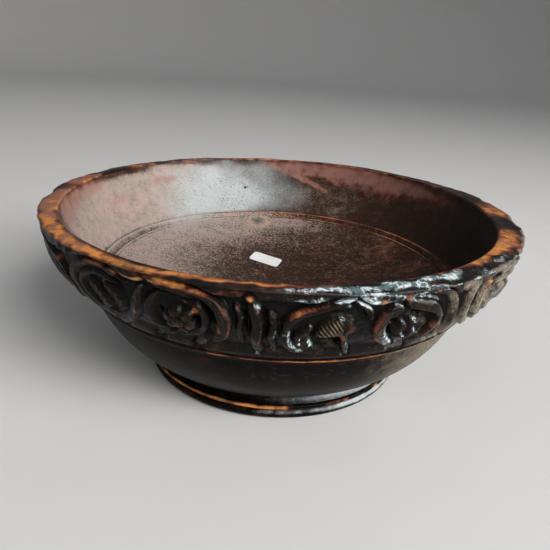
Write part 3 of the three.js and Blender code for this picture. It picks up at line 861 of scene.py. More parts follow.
def wall_sheet(azimuths, height):
    """Wall of the hollow, with a painted sheen at the back, scuffs and painted light at the left, painted
    shade on the right, and the red streak at the back.
    """
    foot, top = (LEDGE_RADIUS, LEDGE_HEIGHT), (HOLLOW_SIDE, height - RIM_INNER_ROUNDING)
    share = np.linspace(0, 1, 21)[1:]
    curve = swollen_curve(foot, top, WALL_SWELL, share)
    front = curve[:, 0] + (HOLLOW_FRONT - HOLLOW_SIDE) * share
    rings = oval(azimuths, curve[:, 0], curve[:, 1], front, HOLLOW_SHIFT * share)
    rings = unevenly_turned(rings, 0.0012, 34, 23)
    turn, level = np.meshgrid(azimuths, curve[:, 1])
    blotch = 1 + 0.22 * rough(rings, 16, 24)
    path = smooth_path([(azimuth % 360, rise) for azimuth, rise in WALL_STREAK])
    away, _ = distance_to_path((turn % 360) * MM_PER_DEGREE, level, path)
    streak = 0.95 * smooth_step(2.6, 0.4, np.abs(away) + 0.9 * hills(rings, 5, 25))
    upper_dark = smooth_step(height - 8, height - 3, level) * (0.3 + 0.45 * hills(rings, 10, 26))
    worn_lip = smooth_step(height - 5, height - 2, level + 2.2 * hills(rings, 5, 27))
    return Sheet(rings, {
        # Painted sheen at the back, and scuffs with painted light at the left
        "bloom_and_sheen": patch_share(WALL_SHEEN, turn, level) * blotch - upper_dark,
        "scuff_and_light": patch_share(WALL_SCUFF_AND_LIGHT, turn, level) * blotch - upper_dark,
        "red": patch_share(WALL_RED, turn, level) * blotch + streak + 0.15,
        # Darker near the top, and painted shade on the right of the wall
        "grime_and_shade": upper_dark * 0.8 + 0.75 * on_arc(azimuths, WALL_SHADE),
        "bare": 0.6 * worn_lip * (0.8 + 0.5 * hills(rings, 16, 28)),
    }, WALL_WOOD)


def chip_depth(azimuths, places):
    """How much of the rim's outer edge has broken away, as a depth."""
    depth = 0.45 * np.clip(rough(places, 9, 30), 0, 1)
    for azimuth, half_angle, chip in RIM_CHIPS:
        away = np.abs(turn_between(azimuths, azimuth)) / half_angle
        depth = depth + 0.75 * chip * smooth_step(1.3, 0.3, away + 0.35 * rough(places, 4, 31))
    return depth


def along_rim(azimuths, across):
    """Places for marks that run three times as far along the rim as across it."""
    return np.stack(np.broadcast_arrays(azimuths * MM_PER_DEGREE / 3, across, 0.0), axis=-1)


def rim_slump(azimuths):
    """How far the outer edge of the rim has worn down at the front right."""
    return 1.7 * on_arc(azimuths, RIM_SLUMP)


def rim_profile(height, side):
    """Places from the inner arris over the flat top to the outer edge."""
    top_out = height - RIM_TOP_FALL
    arris, outer_start = HOLLOW_SIDE + RIM_INNER_ROUNDING, side - RIM_OUTER_ROUNDING
    inner = quarter_round((0, height - RIM_INNER_ROUNDING), (RIM_INNER_ROUNDING, height), (0, height), 5)
    share = np.linspace(0, 1, 7)[1:-1]
    top_width = outer_start - HOLLOW_SIDE - RIM_INNER_ROUNDING
    top = np.stack([arris + share * top_width, height + share * (top_out - height)], axis=1)
    outer = quarter_round((outer_start, top_out), (side, height - RIM_OUTER_ROUNDING), (side, top_out), 5)
    return np.vstack([inner[1:] + (HOLLOW_SIDE, 0), top, outer[:-1]])


def rim_sheet(azimuths, sizes):
    """Rounded inner arris, worn flat top and rounded, chipped outer edge."""
    side, front = sizes.rim_side / MM, sizes.rim_front / MM
    across, level = rim_profile(sizes.height / MM, side).T[..., None]
    out_share = (across - HOLLOW_SIDE) / (side - HOLLOW_SIDE)
    depth = HOLLOW_FRONT + out_share * (front - HOLLOW_FRONT)
    rings = oval(azimuths, across, level, depth, HOLLOW_SHIFT * (1 - out_share))
    chips = chip_depth(azimuths, rings) * smooth_step(0.55, 1.0, out_share)
    sag = 0.35 * rough(rings, 18, 32) + 0.15 * hills(rings, 3, 33)
    ridges = hills(along_rim(azimuths, across), 3.6, 37)
    slump = rim_slump(azimuths)
    lumps = 0.9 * slump * ridges * smooth_step(0.1, 0.5, out_share)
    fall = smooth_step(0, 0.15, out_share) * (sag - 0.35 + 0.6 * lumps) - 0.8 * chips
    rings[..., 2] += np.minimum(0, fall) - slump * smooth_step(0.2, 1.0, out_share)
    rings[..., :2] *= (1 - 0.75 * chips / side)[..., None]
    share = out_share + 0.14 * hills(rings, 5, 36)
    dark = patch_share(RIM_DARK, azimuths, share)
    bloom_and_sheen = patch_share(RIM_HIGHLIGHTS, azimuths, share)
    bare = 0.22 + 0.75 * patch_share(RIM_BARE, azimuths, share) + 0.22 * rough(rings, 8, 34)
    return Sheet(rings, {
        "bare": bare - 0.9 * dark - 0.35 * bloom_and_sheen - 0.2 * smooth_step(0.5, 1.5, chips),
        "red": 0.25 + 0.3 * hills(rings, 15, 35),
        "hue": 0.45 + 0.55 * patch_share(RIM_RED, azimuths, share),
        "grime_and_shade": 0.6 * dark,
        # Painted highlights: along the outer edge at the right, and wet highlights of the polish
        "scuff_and_light": 1.1 * on_arc(azimuths, RIM_EDGE_HIGHLIGHT) * smooth_step(0.84, 0.97, share),
        "bloom_and_sheen": bloom_and_sheen * (0.62 + 0.65 * ridges),
    }, RIM_WOOD)


def band_finish(azimuths, rise, rings, carving):
    """Wear, polish and darkened recesses of the carving, with painted sheen and highlights on the faces
    turned to the light, painted light on its right and painted shade on its left.
    """
    turn = turn_between(azimuths, 0)
    repeated = (azimuths + REPEAT_ANGLE / 2) % REPEAT_ANGLE - REPEAT_ANGLE / 2
    along = along_rim(azimuths, rise)
    border = 1 - carving.under_border
    # Painted highlights: wet glints on the border, sheen at the front, glints on listed faces, and pale
    # faces in the light
    gloss = on_arc(azimuths, BORDER_HIGHLIGHT)
    border_highlight = border * gloss * (0.45 + 0.75 * hills(along, 4, 42))
    front_sheen = on_arc(azimuths, FRONT_SHEEN) * (0.55 + 0.6 * rough(rings, 4, 43, 2))
    # Painted light: the right of the carving, which faces the light, is paler and greyer, less so where the
    # side light falls
    dry_and_lit = smooth_step(28, 42, turn + 3 * hills(rings, 9, 45)) * smooth_step(95, 75, turn)
    dry_and_lit_strength = 1.55 - 0.4 * smooth_step(48, 62, turn)
    sheen = 0.55 + 0.55 * rough(rings, 8, 40)
    # The left of the carving, which faces away from the light, gets painted shade and less wear
    left = smooth_step(0, -50, turn) * smooth_step(-170, -120, turn)
    hue = patch_share(PINK_PLACES, repeated, rise) - patch_share(OLIVE_PLACES, repeated, rise)
    highlight = patch_share(HIGHLIGHT_PLACES, repeated, rise) * (0.3 + 0.7 * carving.sheen)
    pale_in_light = patch_share(LIT_FACES, repeated, rise) * (0.45 + 0.55 * carving.sheen) * (1 - carving.grime_and_shade)
    olive = border * on_arc(azimuths, OLIVE_BORDER) * smooth_step(-0.45, 0.35, rough(along, 5, 44))
    bare = carving.bare * (1 - 0.25 * left) * (1 - 0.6 * pale_in_light)
    return {
        "bare": bare - 0.2 * border * gloss + 0.75 * olive,
        "grime_and_shade": carving.grime_and_shade * (1 - 0.3 * dry_and_lit) + 0.5 * left,
        "bloom_and_sheen": border_highlight + 0.7 * front_sheen * carving.sheen + 0.9 * highlight + 0.25 * dry_and_lit * carving.sheen,
        "scuff_and_light": dry_and_lit * dry_and_lit_strength * (0.9 - 0.6 * carving.grime_and_shade) * sheen + 0.5 * olive + 1.1 * pale_in_light,
        "ribbed": carving.ribbed,
        "rib_place": carving.rib_place,
        "red": 0.15 + 0.25 * hills(rings, 12, 41) + 0.12 * hue,
        "hue": 0.5 + 0.5 * hue - 0.5 * olive,
    }


def band_sheet(azimuths, sizes):
    """The carved band, from the rim down to the step."""
    side, front = sizes.rim_side / MM, sizes.rim_front / MM
    lower, upper = (STEP_RADIUS, STEP_TOP), (side, sizes.height / MM - RIM_OUTER_ROUNDING)
    curve = swollen_curve(lower, upper, BAND_SWELL, np.linspace(0, 1, 200))
    profile, along, band_rise = even_steps(curve, BAND_ROWS)
    rises = np.linspace(0, band_rise, BAND_ROWS)
    rise = rises[:, None]
    squash = 1 - (1 - front / side) * rise / band_rise
    radius, level = profile[:, :1], profile[:, 1:]
    places = oval(azimuths, radius, level, radius * squash)
    carving = carve(azimuths, rises, places, sizes.carving_depth / MM, sizes.border_width / MM, band_rise)
    fade = smooth_step(band_rise - 9, band_rise, rise)
    chips = chip_depth(azimuths, places) * fade
    relief = carving.relief * smooth_step(0, 1.2, rise) - 0.9 * chips
    out = radius + relief * along[:, 1:]
    level = level - relief * along[:, :1] - 0.25 * chips - rim_slump(azimuths) * fade
    rings = oval(azimuths, out, level, out * squash)
    finish = band_finish(azimuths, rise, rings, carving)
    return Sheet(rings[::-1], {key: values[::-1] for key, values in finish.items()}, CARVED_WOOD)


def step_sheet(azimuths):
    """Rounded edge of the step under the carving, with small dents and one short split."""
    edge = quarter_round((STEP_RADIUS, STEP_TOP - 0.4), (STEP_RADIUS - STEP_ROUNDING, STEP_HEIGHT),
                         (STEP_RADIUS + 0.2, STEP_HEIGHT), 7)
    rings = oval(azimuths, *edge.T)
    dents = 0.35 * np.clip(rough(rings, 7, 50), 0, 1)
    split = 1.3 * smooth_step(1.1, 0.3, np.abs(turn_between(azimuths, STEP_SPLIT_AZIMUTH)))
    rings[..., :2] *= (1 - (dents + split) / STEP_RADIUS)[..., None]
    arris = bell(edge[:, 1] - STEP_HEIGHT, 0.5, 0.7)[:, None]
    pale = arris * on_arc(azimuths, STEP_PALE)
    bare = arris * on_arc(azimuths, STEP_WORN) * (1.0 + 0.5 * hills(rings, 9, 51)) * (1 - 0.5 * pale) + 0.05
    return Sheet(rings, {"bare": bare, "scuff_and_light": 1.2 * pale, "red": 0.2}, TURNED_WOOD)


def belly_sheet(azimuths):
    """Plain lower body, from under the step to the neck."""
    neck, top = (NECK_RADIUS, FOOT_HIGH.z / MM + NECK_RISE), (STEP_RADIUS - STEP_OVERHANG, STEP_HEIGHT)
    curve = swollen_curve(neck, top, BELLY_SWELL, np.linspace(0, 1, 16))[::-1]
    profile = np.vstack([(STEP_RADIUS - 1.6, STEP_HEIGHT - 0.05), curve])
    rings = unevenly_turned(oval(azimuths, *profile.T), 0.0010, 26, 60)
    return Sheet(rings, {
        "bare": 0.2 * smooth_step(0.35, 0.7, rough(rings * (0.4, 0.4, 1), 10, 61)),
        # Painted light on the right of the belly
        "scuff_and_light": 0.85 * on_arc(azimuths, BELLY_LIGHT),
        # Painted shade just under the step's overhang
        "grime_and_shade": 0.6 * smooth_step(STEP_HEIGHT - 4, STEP_HEIGHT, profile[:, 1:]),
        "red": 0.1,
    }, TURNED_WOOD)


def seat_sheet(azimuths):
    """Cove under the belly, the flat seat on the foot ring, and the spigot in it."""
    seat = FOOT_HIGH.z / MM
    cove = quarter_round((NECK_RADIUS, seat + NECK_RISE), (SEAT_RADIUS, seat + 0.6),
                         (NECK_RADIUS - 0.6, seat + 1.4), 7)[1:]
    profile = np.vstack([
        cove, (SEAT_RADIUS - 0.3, seat + 0.05), (SEAT_RADIUS - 1, seat), (SPIGOT_RADIUS + 1, seat),
        (SPIGOT_RADIUS, seat), (SPIGOT_RADIUS, RECESS_HEIGHT + 0.8), (SPIGOT_RADIUS - 0.8, RECESS_HEIGHT),
        (40, RECESS_HEIGHT), (20, RECESS_HEIGHT),
    ])
    rings = oval(azimuths, *profile.T)
    hollow = bell(profile[:, 1:] - seat, 2.4, 2.6)
    # Painted highlight: a silvery gleam in the cove at the front right
    bloom_and_sheen = 1.1 * on_arc(azimuths, COVE_HIGHLIGHT) * hollow * (1 + 0.15 * hills(rings, 10, 62))
    return Sheet(rings, {"bloom_and_sheen": bloom_and_sheen, "bare": 0.1, "grime_and_shade": 0.2}, TURNED_WOOD)


def build_bowl(sizes, materials):
    fine, plain = column_azimuths(FINE_COLUMNS), column_azimuths(PLAIN_COLUMNS)
    sheets = [
        dish_sheet(plain), ledge_sheet(plain), wall_sheet(plain, sizes.height / MM),
        rim_sheet(fine, sizes), band_sheet(fine, sizes), step_sheet(fine),
        belly_sheet(plain), seat_sheet(plain),
    ]
    poles = np.array([[0, 0, floor_height(0)], [0, 0, RECESS_HEIGHT]])
    return skin_over("carved_bowl", sheets, poles, materials)


def build_foot(sizes, material):
    """Bead over a torus, bored for the spigot, with chips on its right."""
    height, bead_radius = sizes.foot_height / MM, sizes.foot_radius / MM
    torus_height = height - FOOT_BEAD_HEIGHT
    torus_width = FOOT_TORUS_RADIUS - STANDING_RADIUS
    angle = np.linspace(-np.pi / 2, math.acos(1 - FOOT_GROOVE / torus_width), 16)
    torus = np.column_stack([STANDING_RADIUS + torus_width * np.cos(angle),
                             torus_height * (1 + np.sin(angle)) / 2])
    middle, half = torus_height + FOOT_BEAD_HEIGHT / 2, FOOT_BEAD_HEIGHT / 2
    swing = np.linspace(-np.pi / 2, np.pi / 2, 12)
    bead = np.column_stack([bead_radius - half + half * np.cos(swing) ** 0.7, middle + half * np.sin(swing)])
    bead[0] = (FOOT_TORUS_RADIUS - FOOT_GROOVE, torus_height + 0.1)
    bore = SPIGOT_RADIUS + GLUE_GAP
    inside = [(SEAT_RADIUS - 2, height), (bore + 0.5, height), (bore, height - 0.5), (bore, 1.0),
              (bore + 1, 0), (bore + 6, 0), (STANDING_RADIUS - 4, 0), (STANDING_RADIUS - 1, 0)]
    profile = np.vstack([torus, bead, inside])
    level = profile[:, 1:]

    # Shares of each finish for the torus, the bead and the inside, from the standing ring round the profile
    no_torus, no_bead, nowhere = (np.zeros(len(part)) for part in (torus, bead, inside))
    outside = np.concatenate([no_torus + 1, no_bead + 1, nowhere])[:, None]
    crest = np.sin(np.linspace(0.1, np.pi - 0.1, len(bead)))
    on_bead = np.concatenate([no_torus, crest, nowhere])[:, None]
    low = np.concatenate([bell(torus[:, 1], 1.2, 1.2), no_bead, nowhere])[:, None]
    # A line along the upper part of the torus, on which painted highlights lie
    shoulder = bell(level, 0.7 * torus_height, 1.5) + 0.3 * low

    azimuths = column_azimuths(FOOT_COLUMNS)
    rings = oval(azimuths, *profile.T)
    right = on_arc(azimuths, FOOT_RIGHT)
    dents = outside * (0.25 + 0.9 * right) * np.clip(rough(rings, 5, 70) - 0.25, 0, 1)
    rings[..., :2] *= (1 - dents / bead_radius)[..., None]
    turn = turn_between(azimuths, 0)
    worn = smooth_step(-75, -40, turn) * smooth_step(9, 6, turn)
    patchy = smooth_step(0.0, 0.4, hills(rings, 9, 71)) * right
    rubbed = (0.68 + 0.25 * hills(rings, 6, 73)) * worn + 0.8 * patchy + 0.2
    # Painted light on the foot: silvery highlights along the torus, most on the right, and a paler right
    # side
    bloom_and_sheen = outside * (1.7 * right + 0.4 * on_arc(azimuths, FOOT_BEFORE))
    finish = {
        "bare": on_bead * rubbed + 0.25 * low,
        "bloom_and_sheen": bloom_and_sheen * (0.75 + 0.4 * rough(rings, 6, 72)) * shoulder,
        "grime_and_shade": outside * bell(level, torus_height, 0.5),
        "red": 0.2,
        "scuff_and_light": 0.35 * right * outside,
    }
    return loop_over("foot_ring_turned", rings, [material], finish)


def label_outline(count):
    """Points round a rectangle with round corners, and the way outwards at each."""
    x, y = LABEL_LENGTH / 2 - LABEL_CORNER, LABEL_WIDTH / 2 - LABEL_CORNER
    points = []
    for corner, (middle_x, middle_y) in enumerate(((x, y), (-x, y), (-x, -y), (x, -y))):
        for step in range(count):
            angle = (corner + step / (count - 1)) * math.pi / 2
            points.append((middle_x + LABEL_CORNER * math.cos(angle),
                           middle_y + LABEL_CORNER * math.sin(angle)))
    return np.array(points)


def build_label(material):
    """A thin sheet of paper that lies along the dished floor."""
    outline = label_outline(9)
    turn = math.radians(LABEL_TURN)
    spin = np.array([[math.cos(turn), math.sin(turn)], [-math.sin(turn), math.cos(turn)]])

    def ring(scale, lift):
        flat = outline * scale @ spin + LABEL_PLACE
        level = floor_height(np.hypot(flat[:, 0], flat[:, 1])) + LABEL_GAP + lift
        return np.column_stack([flat, level])

    thick, round_edge = LABEL_THICKNESS, 0.05
    top = [ring(scale, thick) for scale in (0.1, 0.35, 0.6, 0.8, 0.95, 0.992)]
    side = [ring(1, thick - round_edge), ring(1, round_edge)]
    under = [ring(scale, 0) for scale in (0.992, 0.95, 0.8, 0.6, 0.35, 0.1)]
    sheet = Sheet(np.array(top + side + under), {}, 0)
    middle = [*LABEL_PLACE, floor_height(math.hypot(*LABEL_PLACE)) + LABEL_GAP]
    poles = np.array([[middle[0], middle[1], middle[2] + thick], middle])
    return skin_over("blank_label", [sheet], poles, [material])


class Bench:
    """Short calls for the nodes of one material. Sizes are in millimetres."""

    def __init__(self, name):
        self.material = bpy.data.materials.new(name)
        self.material.use_nodes = True
        self.tree = self.material.node_tree
        self.tree.nodes.clear()
        self.shader = self.tree.nodes.new("ShaderNodeBsdfPrincipled")
        output = self.tree.nodes.new("ShaderNodeOutputMaterial")
        self.tree.links.new(self.shader.outputs["BSDF"], output.inputs["Surface"])
        coordinates = self.tree.nodes.new("ShaderNodeTexCoord").outputs["Object"]
        self.place = self.stretch(coordinates, (1 / MM,) * 3)

    def put(self, socket, value):
        if isinstance(value, bpy.types.NodeSocket):
            self.tree.links.new(value, socket)
        else:
            socket.default_value = (*value, 1.0) if socket.type == "RGBA" else value

    def node(self, kind, values, **settings):
        node = self.tree.nodes.new(kind)
        for key, value in settings.items():
            setattr(node, key, value)
        for socket, value in values.items():
            self.put(node.inputs[socket], value)
        return node

    def math(self, operation, first, second=0.0):
        return self.node("ShaderNodeMath", {0: first, 1: second}, operation=operation).outputs[0]

    def add(self, *values):
        total = values[0]
        for value in values[1:]:
            total = self.math("ADD", total, value)
        return total

    def times(self, first, second):
        return self.math("MULTIPLY", first, second)

    def amounts(self, *parts):
        """Each value times its amount."""
        return [self.times(value, amount) for value, amount in parts]

    def around(self, value, amount):
        """A noise value as a swing of that amount to both sides of nought."""
        return self.times(self.math("SUBTRACT", value, 0.5), 2 * amount)

    def ramp(self, value, low, high, first=0.0, last=1.0):
        values = {"Value": value, "From Min": low, "From Max": high, "To Min": first, "To Max": last}
        return self.node("ShaderNodeMapRange", values, interpolation_type="SMOOTHSTEP").outputs["Result"]

    def stretch(self, vector, scale):
        return self.node("ShaderNodeVectorMath", {0: vector, 1: scale}, operation="MULTIPLY").outputs[0]

    def noise(self, vector, size, detail=3.0, roughness=0.55, distortion=0.0):
        values = {"Vector": vector, "Scale": 1 / size, "Detail": detail, "Roughness": roughness,
                  "Distortion": distortion}
        return self.node("ShaderNodeTexNoise", values).outputs[0]

    def mix(self, share, first, second):
        return self.node("ShaderNodeMix", {0: share, 6: first, 7: second}, data_type="RGBA").outputs[2]

    def shade(self, colour, amount):
        return self.node("ShaderNodeVectorMath", {0: colour, "Scale": amount}, operation="SCALE").outputs[0]

    def finish_value(self, name):
        return self.node("ShaderNodeAttribute", {}, attribute_name=name).outputs["Fac"]

    def uneven(self, name, *swings):
        """A finish value that noises swing, each by its amount."""
        return self.add(self.finish_value(name), *(self.around(noise, amount) for noise, amount in swings))

    def spot(self, middle, radius, soft):
        """1 within a radius of a place, falling to 0 over the soft edge."""
        distance = self.node("ShaderNodeVectorMath", {0: self.place, 1: middle}, operation="DISTANCE")
        away = self.add(distance.outputs["Value"], self.around(self.noise(self.place, 3, 2), soft))
        return self.ramp(away, radius + soft, radius, 0.0, 1.0)

    def close(self, colour, roughness, height):
        """Connects colour, roughness and a relief height in millimetres to the shader."""
        bump = self.node("ShaderNodeBump", {"Height": height, "Distance": MM, "Strength": 1.0})
        self.put(self.shader.inputs["Base Color"], colour)
        self.put(self.shader.inputs["Roughness"], roughness)
        self.put(self.shader.inputs["Normal"], bump.outputs["Normal"])
        return self.material


def blended(first, second, share):
    return [(1 - share) * one + share * other for one, other in zip(first, second)]


def scaled(colour, factor):
    return [factor * value for value in colour]


FLECK_COLOUR = paint(170, 148, 130)
OLIVE_COLOUR = paint(126, 108, 66)
RIB_COLOUR = paint(176, 156, 118)
SOILED_PAPER = paint(214, 208, 198)
ROOM_COLOUR = paint(250, 250, 255)
# The belly and the foot take the varnish at this share: a darker copy of it, which paints in the shade of
# the underside
TURNED_SHADE = 0.4

# Gloss and shine of the polish, depths in millimetres, and how far each mark of age shows. Crisp is 1 for
# the carving and the rim, where painted sheen, painted glints and scuffs follow every edge.
WoodLook = namedtuple("WoodLook", "gloss shine grain_depth lump_depth flecks pits warmth crisp")
DISH_LOOK = WoodLook(0.46, 0.20, 0.12, 0.05, 1.0, 0.5, 0.5, 0.0)
WALL_LOOK = WoodLook(0.40, 0.22, 0.07, 0.06, 0.35, 1.3, 0.5, 0.0)
RIM_LOOK = WoodLook(0.42, 0.22, 0.14, 0.20, 0.2, 0.1, 0.4, 1.0)
CARVED_LOOK = WoodLook(0.27, 0.09, 0.12, 0.30, 0.2, 0.1, 0.5, 1.0)
TURNED_LOOK = WoodLook(0.38, 0.04, 0.05, 0.04, 0.15, 0.1, 0.3, 0.15)


class AgedWood(Bench):
    """Stained wood with grain along X, on which the layers of its age, with painted sheen, highlights, light
    and shade among them, are laid one after another.
    """

    def __init__(self, name, finish, base, look):
        super().__init__(name)
        self.finish = finish
        self.look = look
        along = self.stretch(self.place, (0.07, 1, 1))
        self.grain = self.noise(along, 1.1, 4)
        self.streak = self.noise(along, 5, 3, 0.6, 0.4)
        self.mottle = self.noise(self.place, 24, 4, 0.6)
        self.patchy = self.noise(self.place, 6, 3, 0.6)
        self.fine = self.noise(self.place, 0.7, 2)
        self.lumps = self.noise(self.place, 3.2, 3, 0.6)
        thin = self.uneven("red", (self.mottle, 0.7), (self.streak, 0.6))
        stained = self.mix(self.ramp(thin, 0.25, 1.35), base, finish.red)
        self.colour = self.shade(stained, self.ramp(self.grain, 0.3, 0.7, 0.72, 1.22))

    def lay(self, share, colour):
        self.colour = self.mix(share, self.colour, colour)

    def scuff(self):
        """Scuffed polish and painted light: greyish, and in long fibres where the wood is crisp."""
        finish = self.finish
        grit = self.noise(self.stretch(self.place, (0.45, 1, 1)), 0.7, 2, 0.7)
        scuff_and_light = self.uneven("scuff_and_light", (self.streak, 0.25), (self.patchy, 0.3), (grit, 1.9 * self.look.flecks))
        self.scuff_and_light_share = self.ramp(scuff_and_light, 0.25, 1.15)
        if self.look.crisp:
            fibre = self.noise(self.stretch(self.place, (1.3, 1.3, 0.4)), 0.8, 3, 0.7)
            pale = self.mix(self.ramp(fibre, 0.36, 0.62), blended(finish.dry_and_lit, finish.stain, 0.8), finish.dry_and_lit)
            pale = self.mix(self.ramp(self.streak, 0.5, 0.75, 0.0, 0.4), pale, finish.red)
        else:
            shift = self.ramp(self.add(self.streak, self.around(self.mottle, 0.6)), 0.3, 0.75)
            pale = self.mix(shift, blended(finish.scuff_and_light, finish.dry_and_lit, 0.6), finish.scuff_and_light)
        self.lay(self.scuff_and_light_share, pale)

    def bloom_and_sheen(self):
        """Painted bluish sheen and reflections of the polish, with painted silvery glints along veins where
        the wood is crisp.
        """
        crisp = self.look.crisp
        bloom_and_sheen = self.uneven("bloom_and_sheen", (self.mottle, 0.25 + 0.25 * crisp), (self.fine, 0.3),
                            (self.lumps, 0.55 * crisp))
        self.bloom_and_sheen_share = self.ramp(bloom_and_sheen, 0.2 + 0.15 * crisp, 1.2 - 0.4 * crisp)
        self.lay(self.bloom_and_sheen_share, blended(self.finish.bloom_and_sheen, self.finish.teal, crisp))
        if crisp:
            # Painted glints: thin bright veins laid over the painted sheen
            wave = self.around(self.noise(self.stretch(self.place, (0.45, 1, 1)), 5, 3, 0.6, 0.6), 1.0)
            vein = self.ramp(self.math("ABSOLUTE", wave), 0.14, 0.02)
            glint = self.times(vein, self.ramp(bloom_and_sheen, 0.35, 0.8, 0.0, crisp))
            self.lay(glint, scaled(self.finish.bloom_and_sheen, 1.5))

    def pit(self):
        """Dark pits, closest where the painted sheen lies, pale flecks, and a flush of red wood."""
        pit_noise = self.noise(self.stretch(self.place, (0.5, 1, 1)), 0.65, 2, 0.6)
        pitted = self.times(self.bloom_and_sheen_share, self.ramp(self.noise(self.place, 13, 2), 0.4, 0.6, 0.2, 1.0))
        pits = self.times(self.ramp(pit_noise, 0.57, 0.65), self.add(0.25, pitted))
        self.pits = self.times(pits, self.look.pits)
        self.colour = self.shade(self.colour, self.math("SUBTRACT", 1.0, self.times(self.pits, 0.55)))
        fleck_noise = self.times(self.noise(self.stretch(self.place, (0.3, 1, 1)), 0.8, 2, 0.7),
                                 self.ramp(self.patchy, 0.35, 0.65, 0.8, 1.1))
        flecks = self.times(self.ramp(fleck_noise, 0.60, 0.70), self.look.flecks)
        self.lay(self.times(flecks, 0.5), FLECK_COLOUR)
        flush = self.uneven("red", (self.patchy, 0.5), (self.mottle, 0.4))
        self.lay(self.ramp(flush, 0.55, 1.15, 0.0, 0.75), blended(self.finish.red, self.finish.scuff_and_light, 0.4))

    def wear(self):
        """Wood rubbed bare inside a russet edge, reddish or olive in places."""
        finish, crisp = self.finish, self.look.crisp
        worn = self.uneven("bare", (self.streak, 0.25), (self.patchy, 0.3), (self.grain, 0.3 - 0.22 * crisp),
                           (self.fine, 0.2 - 0.1 * crisp))
        self.lay(self.ramp(worn, 0.28, 0.62, 0.0, 0.9), scaled(finish.red, 0.55))
        self.bare = self.ramp(worn, 0.52, 0.98)
        tone = self.add(self.grain, self.around(self.patchy, 0.7), self.around(self.mottle, 0.7))
        wood = self.mix(self.ramp(tone, 0.1, 0.65), scaled(finish.bare, 0.35), finish.bare)
        hue = self.add(self.noise(self.place, 11, 2),
                       self.times(self.around(self.finish_value("hue"), 0.3), crisp))
        reddest = 0.62 - 0.3 * self.look.warmth
        pinkish = blended(finish.red, finish.scuff_and_light, 0.25)
        wood = self.mix(self.ramp(hue, reddest, reddest + 0.2, 0.0, 0.85), wood, pinkish)
        wood = self.mix(self.ramp(hue, 0.42, 0.28, 0.0, 0.75), wood, OLIVE_COLOUR)
        self.lay(self.times(self.bare, 0.95), wood)

    def line_ribs(self):
        """Rubbed crests of the shell's ribs."""
        ribs = self.math("SINE", self.times(self.finish_value("rib_place"),
                                            4 * math.pi * RIB_SPREAD / RIB_SPACING))
        ribs = self.ramp(self.add(ribs, self.around(self.fine, 0.6), self.around(self.lumps, 0.9)), 0.3, 1.3)
        self.ribs = self.times(ribs, self.finish_value("ribbed"))
        self.lay(self.times(self.ribs, 0.5), RIB_COLOUR)

    def lay_grime_and_shade(self):
        # Dirt and painted shade, in near black
        self.grime_and_shade_share = self.ramp(self.uneven("grime_and_shade", (self.patchy, 0.3)), 0.2, 0.95)
        self.lay(self.times(self.grime_and_shade_share, 0.9), self.finish.grime_and_shade)

    def finish_off(self, spots):
        """Relief, gloss and single spots, after which the material is ready."""
        look = self.look
        height = self.add(*self.amounts(
            (self.grain, look.grain_depth), (self.lumps, look.lump_depth), (self.fine, 0.03),
            (self.pits, -0.12), (self.bare, -0.10), (self.ribs, 0.12)))
        roughness = self.add(
            look.gloss, self.around(self.fine, 0.08), self.around(self.patchy, 0.10),
            *self.amounts((self.bare, 0.22), (self.scuff_and_light_share, 0.14), (self.grime_and_shade_share, 0.12), (self.bloom_and_sheen_share, -0.10)))
        for middle, radius, soft, colour, sink in spots:
            inside = self.spot(middle, radius, soft)
            self.lay(inside, colour)
            height = self.add(height, self.times(inside, -sink))
        self.shader.inputs["IOR"].default_value = 1.5
        self.shader.inputs["Specular IOR Level"].default_value = look.shine
        return self.close(self.colour, roughness, height)


def aged_wood(name, finish, base, look, spots=()):
    """Wood with scuffs and painted light, painted sheen and glints, pits, bare places, ribs, and dirt with
    painted shade, in the order in which they came.
    """
    wood = AgedWood(name, finish, base, look)
    wood.scuff()
    wood.bloom_and_sheen()
    wood.pit()
    wood.wear()
    wood.line_ribs()
    wood.lay_grime_and_shade()
    return wood.finish_off(spots)


def label_paper(finish):
    """White paper with faint fibres and a slightly soiled edge."""
    bench = Bench("label paper")
    fibres = bench.noise(bench.stretch(bench.place, (0.5, 1, 1)), 0.35, 3)
    cloud = bench.noise(bench.place, 5, 3)
    colour = bench.mix(bench.ramp(cloud, 0.35, 0.8, 0.0, 0.35), finish.paper, SOILED_PAPER)
    colour = bench.shade(colour, bench.ramp(fibres, 0.3, 0.7, 0.96, 1.0))
    return bench.close(colour, bench.ramp(cloud, 0.3, 0.7, 0.62, 0.75), bench.times(fibres, 0.015))


# The knot with its pale halo on the dish's edge, and a worm hole in the wall
KNOT_PLACE = (-19.6, 103.4, 63.2)
WORM_PLACE = (-32.9, 124.8, 87.2)
INSIDE_SPOTS = (
    Spot(KNOT_PLACE, 7.5, 5.0, paint(172, 146, 128), 0.0),
    Spot(KNOT_PLACE, 3.0, 5.0, paint(116, 110, 102), 0.0),
    Spot(KNOT_PLACE, 0.0, 2.8, paint(76, 68, 60), 0.15),
    # The worm hole is a near-black spot over a shallow dent: its dark is painted shade
    Spot(WORM_PLACE, 1.0, 0.3, paint(8, 7, 7), 0.6),
)


def show_piece(piece, node):
    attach(piece, "root")
    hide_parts(node)


